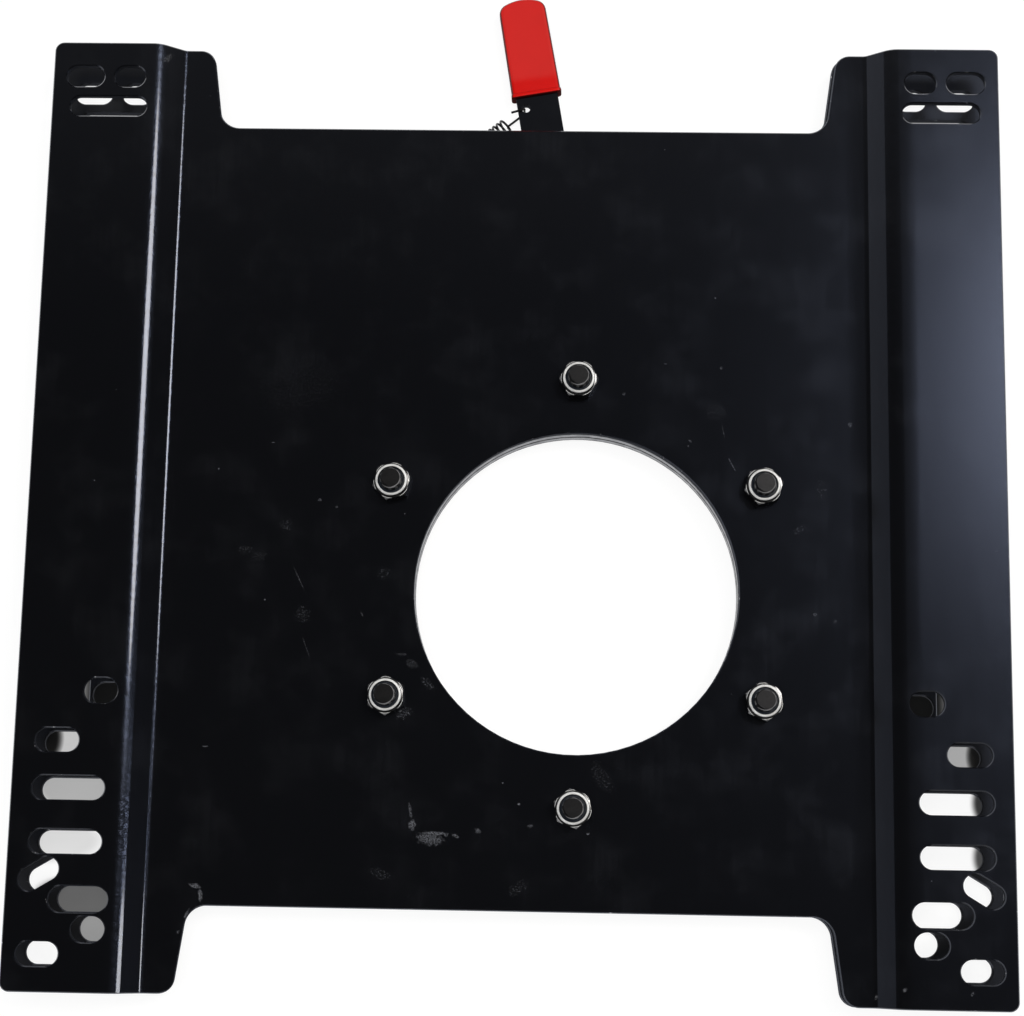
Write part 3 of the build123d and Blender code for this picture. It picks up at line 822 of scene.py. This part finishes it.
def nut_mesh(settings):
    """Hexagon nut with rounded corners and a collar rolled over its insert."""
    roll, seat_low, seat_high = nut_levels(settings)
    side = hexagon(settings.flats)
    crown_r = settings.flats / sqrt(3) - 0.7 * MM
    edge = 0.12 * MM
    hole_r = settings.screw_r + 0.05 * MM
    seat_r = settings.lip_r + 0.3 * MM
    top = settings.hex_height
    collar_r = settings.collar_r

    def drop(around):
        return 0.9 * max(0.0, side(around) - crown_r)

    def face_r(around):
        return min(side(around) - edge, crown_r)

    profile = [
        (hole_r, 0.0),
        (face_r, 0.0),
        (side, lambda around: edge / 2 + drop(around)),
        (side, lambda around: top - edge / 2 - drop(around)),
        (face_r, top),
        (collar_r + 0.35 * MM, top),
        (collar_r + 0.12 * MM, top + 0.1 * MM),
        (collar_r, top + 0.35 * MM),
    ]
    roll_steps = 8
    for step in range(roll_steps + 1):
        around = pi * step / roll_steps
        profile.append((collar_r - roll + roll * cos(around), seat_high + roll + roll * sin(around)))
    profile += [(settings.lip_r, seat_high), (seat_r, seat_high), (seat_r, seat_low), (hole_r, seat_low)]
    return turned("lock_nut", NUT_SIDES, profile, closed=True)


def insert_mesh(settings):
    """Plastic ring with a slightly domed face."""
    _, low, high = nut_levels(settings)
    outer_r = settings.lip_r + 0.28 * MM
    inner_r = settings.screw_r + 0.03 * MM
    profile = [
        (inner_r, low),
        (outer_r, low),
        (outer_r, high - 0.05 * MM),
        (settings.lip_r - 0.05 * MM, high),
        ((outer_r + inner_r) / 2, high + 0.12 * MM),
        (inner_r + 0.1 * MM, high + 0.06 * MM),
        (inner_r, high - 0.1 * MM),
    ]
    return turned("nut_insert", NUT_SIDES, profile, closed=True, sharp=radians(50))


def screw_mesh(settings):
    """Countersunk socket screw with its thread cut to the tip."""
    sides, steps_in_turn = 48, 10
    low, high = screw_low.z, screw_high.z
    socket = hexagon(settings.socket_flats)
    shank = low + settings.head_r - settings.screw_r
    minor_r = settings.screw_r - 0.61 * settings.pitch
    tip_r = settings.screw_r - settings.tip_chamfer
    steps = round((high - shank) / settings.pitch * steps_in_turn)
    mouth = 0.3 * MM

    def thread_r(height):
        most = tip_r + high - height

        def radius(around):
            place = (height / settings.pitch - around / tau) % 1.0
            crest = min(1.0, max(0.0, 1.6 * (1.0 - abs(2.0 * place - 1.0)) - 0.2))
            return min(most, minor_r + crest * (settings.screw_r - minor_r))

        return radius

    profile = [
        (socket, low + settings.socket_depth),
        (socket, low + mouth / 2),
        (lambda around: socket(around) + mouth / 2, low),
        (settings.head_r - mouth, low),
        (settings.head_r, low + mouth),
        (settings.screw_r, shank),
    ]
    for step in range(1, steps + 1):
        height = shank + (high - shank) * step / steps
        profile.append((thread_r(height), height))
    profile.append((tip_r - 0.15 * MM, high))
    return turned("clamp_screw", sides, profile, sharp=radians(40))


def dressed(graph, geometry, finish):
    """Real mesh with its finish, at the end of a tree."""
    real = graph.add("GeometryNodeRealizeInstances", {"Geometry": geometry})[0]
    return graph.add("GeometryNodeSetMaterial", {"Geometry": real, "Material": finish})[0]


@growth
def bolted_round(graph, points: GEOMETRY, fastener: OBJECT, seat_height: NUMBER, finish: MATERIAL):
    """Places a fastener on each point, turned by the point's own angle."""
    lift = graph.add("ShaderNodeCombineXYZ", {"Z": seat_height})[0]
    seated = graph.add("GeometryNodeTransform", {"Geometry": points, "Translation": lift})[0]
    one = graph.add("GeometryNodeObjectInfo", {"Object": fastener})["Geometry"]
    own_turn = graph.add("GeometryNodeInputNamedAttribute", {"Name": "turn"}, data_type="FLOAT")["Attribute"]
    turn = graph.add("ShaderNodeCombineXYZ", {"Z": own_turn})[0]
    rotation = graph.add("FunctionNodeEulerToRotation", {"Euler": turn})[0]
    placed = graph.add("GeometryNodeInstanceOnPoints", {"Points": seated, "Instance": one, "Rotation": rotation})[0]
    return {"Fasteners": dressed(graph, placed, finish)}


@growth
def drawn_wire(graph, path: GEOMETRY, wire_radius: NUMBER, sides: COUNT, finish: MATERIAL):
    """Draws round wire along a path of edges."""
    curve = graph.add("GeometryNodeMeshToCurve", {"Mesh": path})[0]
    section = graph.add("GeometryNodeCurvePrimitiveCircle", {"Resolution": sides, "Radius": wire_radius})[0]
    swept = graph.add("GeometryNodeCurveToMesh", {"Curve": curve, "Profile Curve": section, "Fill Caps": True})[0]
    smooth = graph.add("GeometryNodeSetShadeSmooth", {"Geometry": swept})[0]
    return {"Wire": dressed(graph, smooth, finish)}


def added(name, data):
    """New object in the scene."""
    made = bpy.data.objects.new(name, data)
    bpy.context.scene.collection.objects.link(made)
    return made


def grown(name, start_mesh, tree, **inputs):
    """Piece that a geometry tree makes from a start mesh, turned into a plain mesh."""
    holder = added(name + "_start", start_mesh)
    modifier = holder.modifiers.new("growth", "NODES")
    modifier.node_group = tree
    tree.is_modifier = True
    given = {title(key): value for key, value in inputs.items()}
    for item in tree.interface.items_tree:
        if item.in_out == "INPUT" and item.name in given:
            modifier[item.identifier] = given[item.name]
    graph = bpy.context.evaluated_depsgraph_get()
    mesh = bpy.data.meshes.new_from_object(holder.evaluated_get(graph), depsgraph=graph)
    holder.modifiers.clear()
    bpy.data.objects.remove(holder)
    mesh.name = name
    return added(name, mesh)


def settle(piece, body, slot, *nodes):
    """Lets a finished piece ride on its body in the place of frame nodes."""
    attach(piece, body)
    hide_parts(*nodes)


# Turns of the six nuts, from the first screw round to the left
nut_turns = [radians(a) for a in (14, 0, 15, 30, 40, 38)]


def screw_points(settings, turns):
    """Points on the bolt circle, each with the turn of its fastener."""
    count = len(turns)
    angles = [settings.first_angle + tau * i / count for i in range(count)]
    made = bpy.data.meshes.new("screw_points")
    made.from_pydata([(settings.bolt_circle * cos(a), settings.bolt_circle * sin(a), 0.0) for a in angles], [], [])
    made.attributes.new("turn", "FLOAT", "POINT").data.foreach_set("value", turns)
    return made


def bolt_on(name, mesh, points, seat_height, finish):
    """Like fasteners on all points, as one piece."""
    pattern = added(name + "_pattern", mesh)
    piece = grown(name, points, bolted_round(), fastener=pattern, seat_height=seat_height, finish=finish)
    bpy.data.objects.remove(pattern)
    return piece


def even_steps(points, step):
    """Points at an even distance along a path."""
    made = [points[0]]
    left = step
    for start, end in zip(points, points[1:]):
        run = (end - start).length
        gone = left
        while gone <= run:
            made.append(start.lerp(end, gone / run))
            gone += step
        left = gone - run
    return made + [points[-1]]


def eased(points, passes):
    """Path with its sharp corners eased, as bent wire has them."""
    for _ in range(passes):
        middle = [(a + 2 * b + c) / 4 for a, b, c in zip(points, points[1:], points[2:])]
        points = [points[0], *middle, points[-1]]
    return points


def spring_path(settings):
    """Middle of the spring's wire, from the loop round its post to the end of the hook, and its two ends."""
    loop_steps, steps_in_coil, wire_step, ease_passes = 48, 40, 0.25 * MM, 4
    along, across = bar_axes(settings)
    low_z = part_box("lever_spring")[0].z + settings.wire_r
    level = Vector((0, 0, low_z))
    over_bar = Vector((0, 0, lever_high.z + settings.wire_r + 0.05 * MM))
    axis_z = low_z + settings.coil_r
    hole = Vector((*settings.bar_cross, 0)) + along * settings.hole_along + across * settings.hole_across
    way = Vector((cos(settings.spring_angle), sin(settings.spring_angle), 0))
    side = Vector((way.y, -way.x, 0))
    foot = hole - way * settings.spring_span
    post = foot + side * settings.loop_r
    path = []
    for step in range(loop_steps + 1):
        around = settings.loop_turn * (1 - step / loop_steps)
        path.append(post - side * settings.loop_r * cos(around) - way * settings.loop_r * sin(around) + level)
    coil_start = foot + way * settings.leg
    path.append(coil_start + level)
    steps = steps_in_coil * settings.coil_turns
    for step in range(1, steps + 1):
        around = tau * settings.coil_turns * step / steps
        reach = way * settings.coil_pitch * settings.coil_turns * step / steps
        turn = side * -sin(around) * settings.coil_r
        path.append(coil_start + reach + turn + Vector((0, 0, axis_z - settings.coil_r * cos(around))))
    bend = hole - way * settings.hook_offset
    tail_angle = settings.spring_angle - settings.tail_turn
    tail = bend - Vector((cos(tail_angle), sin(tail_angle), 0)) * settings.tail
    path += [bend + level, bend + over_bar, tail + over_bar]
    return eased(even_steps(path, wire_step), ease_passes), post + level, bend + level


def line_mesh(name, points):
    """Mesh of edges along a path."""
    made = bpy.data.meshes.new(name)
    made.from_pydata(points, [(i, i + 1) for i in range(len(points) - 1)], [])
    return made


def crowned_end(half_width, crown_r, corner_r):
    """Plan of a bar's end, with its crown's top at 0: its half width, and the way in from its outline to a point."""
    corner_x = half_width - corner_r
    corner_y = sqrt((crown_r - corner_r) ** 2 - corner_x**2) - crown_r
    reach = crown_r / (crown_r - corner_r)
    crown_end = (corner_y + crown_r) * reach - crown_r

    def half(y):
        if y > crown_end:
            return sqrt(max(0.0, crown_r**2 - (y + crown_r) ** 2))
        if y > corner_y:
            return corner_x + sqrt(corner_r**2 - (y - corner_y) ** 2)
        return half_width

    def depth(x, y):
        x = abs(x)
        in_corner = y > corner_y and x > corner_x and x * (corner_y + crown_r) > corner_x * (y + crown_r)
        if in_corner:
            return corner_r - sqrt((x - corner_x) ** 2 + (y - corner_y) ** 2)
        return min(half_width - x, crown_r - sqrt(x**2 + (y + crown_r) ** 2))

    return half, depth


def bar_section(half, half_height, edge_r, depth, station):
    """Loop round a bar at one station: points across, along and up, with its edges rounded."""
    steps = 12
    points = []
    for up in (1, -1):
        for step in range(-steps, steps + 1):
            x = up * half * sin(pi / 2 * step / steps)
            inset = max(0.0, edge_r - max(0.0, depth(x)))
            points.append((x, station, up * (half_height - edge_r + sqrt(edge_r**2 - inset**2))))
    return points


def grip_mesh(settings):
    """Grip dipped over the bar: pocket, lip, tapered sleeve and crowned end."""
    pocket_steps, lip_steps, sleeve_steps, crown_steps = 12, 8, 12, 24
    start = settings.grip_start
    end = start + settings.grip_length
    wall = settings.grip_wall
    half_bar = settings.bar_width / 2
    half_thick = (lever_high.z - lever_low.z) / 2
    slack = 0.02 * MM
    edge_r = settings.grip_edge_r
    half_height = half_thick + wall
    loops = []

    pocket_half, pocket_depth = crowned_end(half_bar + slack, settings.crown_r + slack, settings.corner_r)
    for step in range(pocket_steps + 1):
        y = -half_bar * (1 - cos(pi / 2 * (step + 0.5) / (pocket_steps + 0.5)))
        place = end - wall + slack + y
        loops.append(bar_section(pocket_half(y), half_thick + slack, slack, lambda x: pocket_depth(x, y), place))
    loops.append(bar_section(pocket_half(y), half_thick + slack, slack, lambda x: half_bar + slack - abs(x), start))

    def side(station):
        return half_bar + wall + settings.grip_taper * ((end - station) / settings.grip_length - 0.5)

    for step in range(lip_steps + 1):
        around = pi * step / lip_steps
        out = settings.lip * sin(around)
        station = start + settings.lip_length / 2 * (1 - cos(around))
        wide = side(station) + out
        loops.append(bar_section(wide, half_height + out, edge_r, lambda x: wide - abs(x), station))
    half, depth = crowned_end(side(end), settings.crown_r + wall, settings.corner_r + wall)
    crown_start = end - half_bar
    body_start = start + settings.lip_length
    for step in range(1, sleeve_steps + 1):
        station = body_start + (crown_start - body_start) * step / sleeve_steps
        wide = side(station)
        loops.append(bar_section(wide, half_height, edge_r, lambda x: wide - abs(x), station))
    for step in range(1, crown_steps + 1):
        # The last loop stops short of the crown's top, where the cap closes it
        y = (crown_start - end) * (1 - sin(pi / 2 * step / (crown_steps + 0.3)))
        grown_by = side(end + y) - side(end)
        wide = half(y) + grown_by
        loops.append(bar_section(wide, half_height, edge_r, lambda x: depth(abs(x) - grown_by, y), end + y))
    along, across = bar_axes(settings)
    middle = Vector((*settings.bar_cross, (lever_low.z + lever_high.z) / 2))
    placed = [[middle + across * x + along * y + Vector((0, 0, z)) for x, y, z in points] for points in loops]
    return skin("lever_grip_dipped", placed, sharp=radians(50))


class SEATBASE_OT_coat_plates(bpy.types.Operator):
    """Coat the two plates and the release lever"""

    bl_idname = "seatbase.coat_plates"
    bl_label = "Coat the plates"

    def execute(self, context):
        settings = context.scene.seat_base.coat
        wear(coat_finish("coat_top_plate", settings, top_rubs, top_strokes), "top_plate")
        wear(coat_finish("coat_base_plate", settings, dust=settings.base_dust), "base_plate")
        wear(coat_finish("coat", settings), "release_lever")
        return {"FINISHED"}


class SEATBASE_OT_finish_rings(bpy.types.Operator):
    """Finish the turned rings and the slip rings between the plates"""

    bl_idname = "seatbase.finish_rings"
    bl_label = "Finish the rings"

    def execute(self, context):
        metal = context.scene.seat_base.metal
        rings = ("spacer_ring", "retaining_ring")
        joints = [corner.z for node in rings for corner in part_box(node)]
        steel = turned_finish("ring_steel", metal, metal.ring_tone, roughness=0.3, depth=0.01 * MM, joints=joints)
        wear(steel, *rings)
        plastic = moulded_finish("slip_plastic", metal.slip_tone, roughness=0.45)
        wear(plastic, "upper_slip_ring", "lower_slip_ring", "pivot_bush")
        return {"FINISHED"}


class SEATBASE_OT_finish_pivot(bpy.types.Operator):
    """Finish the lever's pivot, its stop and the spring's post"""

    bl_idname = "seatbase.finish_pivot"
    bl_label = "Finish the pivot"

    def execute(self, context):
        metal = context.scene.seat_base.metal
        zinc = turned_finish("zinc_studs", metal, metal.zinc_tone, roughness=0.26, depth=0.006 * MM)
        wear(zinc, "pivot_stud", "pivot_washer", "spring_post", "lever_stop")
        wear(turned_finish("clip_steel", metal, metal.wire_tone, roughness=0.35, depth=0.004 * MM), "pivot_clip")
        return {"FINISHED"}


class SEATBASE_OT_fit_fasteners(bpy.types.Operator):
    """Fit the six clamp screws, their lock nuts and the nuts' inserts"""

    bl_idname = "seatbase.fit_fasteners"
    bl_label = "Fit the fasteners"

    def execute(self, context):
        settings = context.scene.seat_base.fastener
        metal = context.scene.seat_base.metal
        # Where the painted highlight lies: the collar's top between two radii above a height, and a ring through the
        # hexagon's corners
        painted_highlight = {
            "inner": settings.lip_r + 0.25 * MM,
            "outer": settings.collar_r + 0.05 * MM,
            "low": nut_high.z - nut_low.z - 0.8 * MM,
            "corner": settings.flats / 2 + 0.2 * MM,
        }
        own = {"attribute": "own_place"}
        zinc = turned_finish("zinc_nuts", metal, metal.nut_tone, roughness=0.2, depth=0.004 * MM, painted_highlight=painted_highlight, **own)
        black = turned_finish(
            "screw_steel", metal, metal.screw_tone, roughness=0.38, depth=0.01 * MM, rubbed=True, **own
        )
        nylon = moulded_finish("insert_plastic", metal.insert_tone, roughness=0.35, **own)
        points = screw_points(settings, nut_turns)
        straight = screw_points(settings, [0.0] * len(nut_turns))
        nuts = bolt_on("lock_nuts_rolled", nut_mesh(settings), points, nut_low.z, zinc)
        settle(nuts, "turntable", "zinc", "lock_nuts")
        inserts = bolt_on("nut_inserts_domed", insert_mesh(settings), points, nut_low.z, nylon)
        settle(inserts, "turntable", "insert_plastic", "nut_inserts")
        screws = bolt_on("clamp_screws_threaded", screw_mesh(settings), straight, 0.0, black)
        settle(screws, "turntable", "screw_steel", "clamp_screws")
        return {"FINISHED"}


class SEATBASE_OT_fit_spring(bpy.types.Operator):
    """Fit the return spring between its post and the bar"""

    bl_idname = "seatbase.fit_spring"
    bl_label = "Fit the spring"

    def execute(self, context):
        settings = context.scene.seat_base.lever
        metal = context.scene.seat_base.metal
        finish = turned_finish("spring_steel", metal, metal.wire_tone, roughness=0.32, depth=0.003 * MM)
        path, post_end, hook_end = spring_path(settings)
        start = line_mesh("spring_path", path)
        wire = {"wire_radius": settings.wire_r, "sides": 12, "finish": finish}
        spring = grown("lever_spring_wire", start, drawn_wire(), **wire)
        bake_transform(spring)
        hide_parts("lever_spring")
        return {"FINISHED"}


class SEATBASE_OT_fit_grip(bpy.types.Operator):
    """Fit the dipped grip on the end of the bar"""

    bl_idname = "seatbase.fit_grip"
    bl_label = "Fit the grip"

    def execute(self, context):
        settings = context.scene.seat_base.lever
        mesh = grip_mesh(settings)
        mesh.materials.append(dipped_finish("grip_vinyl", settings))
        settle(added("lever_grip_dipped", mesh), "lever", "grip_vinyl", "lever_grip")
        return {"FINISHED"}


# Painted shade on the floor behind the slots, in mm and degrees: place, length, width and turn, and how deep it is
painted_slot_shades = {
    "left near slot": (-184.1, -116.2, 44.0, 20.0, 0.0, 0.79),
    "left small slot": (-180.1, -127.5, 26.0, 22.0, 0.0, 0.64),
    "left middle slot": (-186.0, -75.4, 44.0, 24.0, 0.0, 0.54),
    "left middle slot end": (-205.0, -75.4, 30.0, 24.0, 0.0, 0.4),
    "left low slot": (-200.0, -95.2, 60.0, 22.0, 0.0, 0.33),
    "left far slot": (-207.0, -57.5, 34.0, 34.0, 0.0, 1.0),
    "left far slot end": (-188.0, -57.5, 44.0, 24.0, 0.0, 0.45),
    "right far slot": (160.0, -58.2, 34.0, 34.0, 0.0, 1.0),
    "right far slot end": (140.0, -58.2, 44.0, 24.0, 0.0, 0.57),
    "right middle slot": (157.0, -75.6, 20.0, 24.0, 0.0, 0.9),
    "right low slot": (157.0, -95.7, 20.0, 24.0, 0.0, 0.85),
}
# Where the painted shade under the part starts and ends: the distances, in mm, over which it fades
painted_shade_fades = {
    "panel side": (146, 156),
    "panel far end": (168, 184),
    "waist side": (158, 174),
    "waist far end": (-24, -8),
    "near end": (-52, -46),
    "cable opening": (61, 70),
    "plate side": (177, 182),
}


def painted_floor_shade(graph, place):
    """Painted shade: how dark the floor is painted under the panel, in the base plate's waist and behind the slots."""
    parts = graph.parts(place)
    off_middle = graph.size(graph.minus(parts["X"], plate_middle))

    def past(value, key):
        start, end = painted_shade_fades[key]
        return graph.ramp(value, start * MM, end * MM)

    def before(value, key):
        start, end = painted_shade_fades[key]
        return graph.ramp(value, start * MM, end * MM, 1.0, 0.0)

    under_panel = graph.times(before(off_middle, "panel side"), before(parts["Y"], "panel far end"))
    in_waist = graph.times(before(off_middle, "waist side"), before(parts["Y"], "waist far end"))
    middle = graph.times(
        graph.most(under_panel, in_waist),
        past(parts["Y"], "near end"),
        past(graph.radius(place), "cable opening"),
    )
    slots = graph.times(rub_and_shade_masks(graph, place, 0.0, painted_slot_shades), before(off_middle, "plate side"))
    return graph.most(middle, slots)


def floor_finish(settings):
    """Pale floor that shows white and keeps the shadow, with painted shade under the part and behind the slots. The
    painted shade is for the camera alone, and the floor isn't there from below.
    """
    made = bpy.data.materials.new("pale_floor")
    made.use_nodes = True
    made.cycles.emission_sampling = "NONE"
    nodes = made.node_tree.nodes
    nodes.remove(nodes["Principled BSDF"])
    graph = Graph(made.node_tree)
    place = graph.add("ShaderNodeTexCoord")["Object"]
    path = graph.add("ShaderNodeLightPath")
    painted_shade = graph.times(painted_floor_shade(graph, place), path["Is Camera Ray"])
    seen = graph.most(path["Is Camera Ray"], path["Is Glossy Ray"], path["Is Transmission Ray"])
    lit = graph.ramp(graph.radius(place), 0.5, 2.0, settings.floor_glow, 1.0)
    # The painted shade takes away the floor's glow
    lit = graph.times(lit, graph.ramp(painted_shade, 0.0, 1.0, 1.0, 0.0))
    glow = graph.add("ShaderNodeEmission", {"Color": (1.0, 1.0, 1.0, 1.0), "Strength": lit})[0]
    # The painted shade also darkens the floor's colour
    answer = graph.mix(painted_shade, (0.16, 0.16, 0.16), (0.03, 0.03, 0.03))
    shade = graph.add("ShaderNodeBsdfDiffuse", {"Color": answer})[0]
    shown = graph.add("ShaderNodeAddShader", {0: glow, 1: shade})[0]
    pale = graph.add("ShaderNodeBsdfDiffuse", {"Color": (0.8, 0.8, 0.8, 1.0)})[0]
    either = graph.add("ShaderNodeMixShader", {0: seen, 1: pale, 2: shown})[0]
    below = graph.add("ShaderNodeNewGeometry")["Backfacing"]
    clear = graph.add("ShaderNodeBsdfTransparent")[0]
    whole = graph.add("ShaderNodeMixShader", {0: below, 1: either, 2: clear})[0]
    graph.feed(nodes["Material Output"], {"Surface": whole})
    return made


def room_light():
    """White round the horizon, higher on the left, dark overhead and paler behind, as black gloss reflects a room."""
    world = bpy.data.worlds.new("studio_room")
    world.use_nodes = True
    graph = Graph(world.node_tree)
    parts = graph.parts(graph.add("ShaderNodeTexCoord")["Generated"])
    left_rise = 0.18
    height = graph.line(parts["X"], left_rise, parts["Z"])
    walls = graph.ramp(height, 0.02, 0.18, 0.9, 0.03)
    behind = graph.ramp(parts["Y"], 0.25, 0.42, 0.0, 0.09)
    camera = graph.add("ShaderNodeLightPath")["Is Camera Ray"]
    level = graph.most(graph.plus(walls, behind), camera)
    graph.feed(world.node_tree.nodes["Background"], {"Color": (1.0, 1.0, 1.0, 1.0), "Strength": level})
    return world


def lamp(name, place, size, power, tone=(1.0, 1.0, 1.0), shows=True):
    """Soft lamp that points at the part's middle, with its first side along the part's width."""
    light = bpy.data.lights.new(name, "AREA")
    light.shape = "ELLIPSE"
    light.size, light.size_y = size
    light.energy = power
    light.color = tone
    made = added(name, light)
    made.location = place
    middle = Vector((0.0, 0.03, 0.0))
    back = (Vector(place) - middle).normalized()
    side = (Vector((1, 0, 0)) - back * back.x).normalized()
    made.rotation_euler = Matrix((side, back.cross(side), back)).transposed().to_euler()
    made.visible_glossy = shows


class SEATBASE_OT_set_stage(bpy.types.Operator):
    """Set the floor, the lamps, the room and the camera"""

    bl_idname = "seatbase.set_stage"
    bl_label = "Set the stage"

    def execute(self, context):
        settings = context.scene.seat_base.stage
        scene = context.scene
        floor_sides = 64
        floor = bpy.data.meshes.new("floor")
        floor.from_pydata(loop(floor_sides, settings.floor_size, floor_height), [], [range(floor_sides)])
        floor.materials.append(floor_finish(settings))
        added("floor", floor)
        scene.world = room_light()
        warm = (1.0, 0.96, 0.9)
        lamp("key_lamp", (1.42, 0.78, 2.54), size=(1.27, 1.04), power=settings.key_power, tone=warm)
        lamp("near_lamp", (2.37, -0.27, 1.83), size=(0.74, 0.25), power=settings.near_power)
        lamp("fill_lamp", (-0.2, 0.0, 2.0), size=(2.0, 2.0), power=settings.fill_power, shows=False)
        lens = bpy.data.cameras.new("camera")
        lens.sensor_width = 36.0
        lens.lens = settings.lens
        camera = added("camera", lens)
        camera.location = settings.eye
        camera.rotation_euler = settings.turn
        scene.camera = camera
        scene.view_settings.view_transform = "Standard"
        return {"FINISHED"}


class SEATBASE_PT_sidebar(bpy.types.Panel):
    """Sidebar that lists the steps and their settings"""

    bl_idname = "SEATBASE_PT_sidebar"
    bl_label = "Seat base"
    bl_space_type = "VIEW_3D"
    bl_region_type = "UI"
    bl_category = "Seat base"

    def draw(self, context):
        settings = context.scene.seat_base
        for group, steps in sidebar.items():
            box = self.layout.box()
            held = getattr(settings, group)
            for key in held.bl_rna.properties.keys():
                if key not in ("name", "rna_type"):
                    box.prop(held, key)
            for step in steps:
                box.operator(step.bl_idname)


sidebar = {
    "coat": [SEATBASE_OT_coat_plates],
    "metal": [SEATBASE_OT_finish_rings, SEATBASE_OT_finish_pivot],
    "fastener": [SEATBASE_OT_fit_fasteners],
    "lever": [SEATBASE_OT_fit_spring, SEATBASE_OT_fit_grip],
    "stage": [SEATBASE_OT_set_stage],
}

classes = [
    CoatSettings,
    MetalSettings,
    FastenerSettings,
    LeverSettings,
    StageSettings,
    SeatBaseSettings,
    *[step for steps in sidebar.values() for step in steps],
    SEATBASE_PT_sidebar,
]


def register():
    for item in classes:
        bpy.utils.register_class(item)
    bpy.types.Scene.seat_base = PointerProperty(type=SeatBaseSettings)


def unregister():
    del bpy.types.Scene.seat_base
    for item in reversed(classes):
        bpy.utils.unregister_class(item)


def main():
    """Dress the frame step by step."""
    register()
    bpy.ops.seatbase.coat_plates()
    bpy.ops.seatbase.finish_rings()
    bpy.ops.seatbase.finish_pivot()
    bpy.ops.seatbase.fit_fasteners()
    bpy.ops.seatbase.fit_spring()
    bpy.ops.seatbase.fit_grip()
    bpy.ops.seatbase.set_stage()


if __name__ == "__main__":
    main()
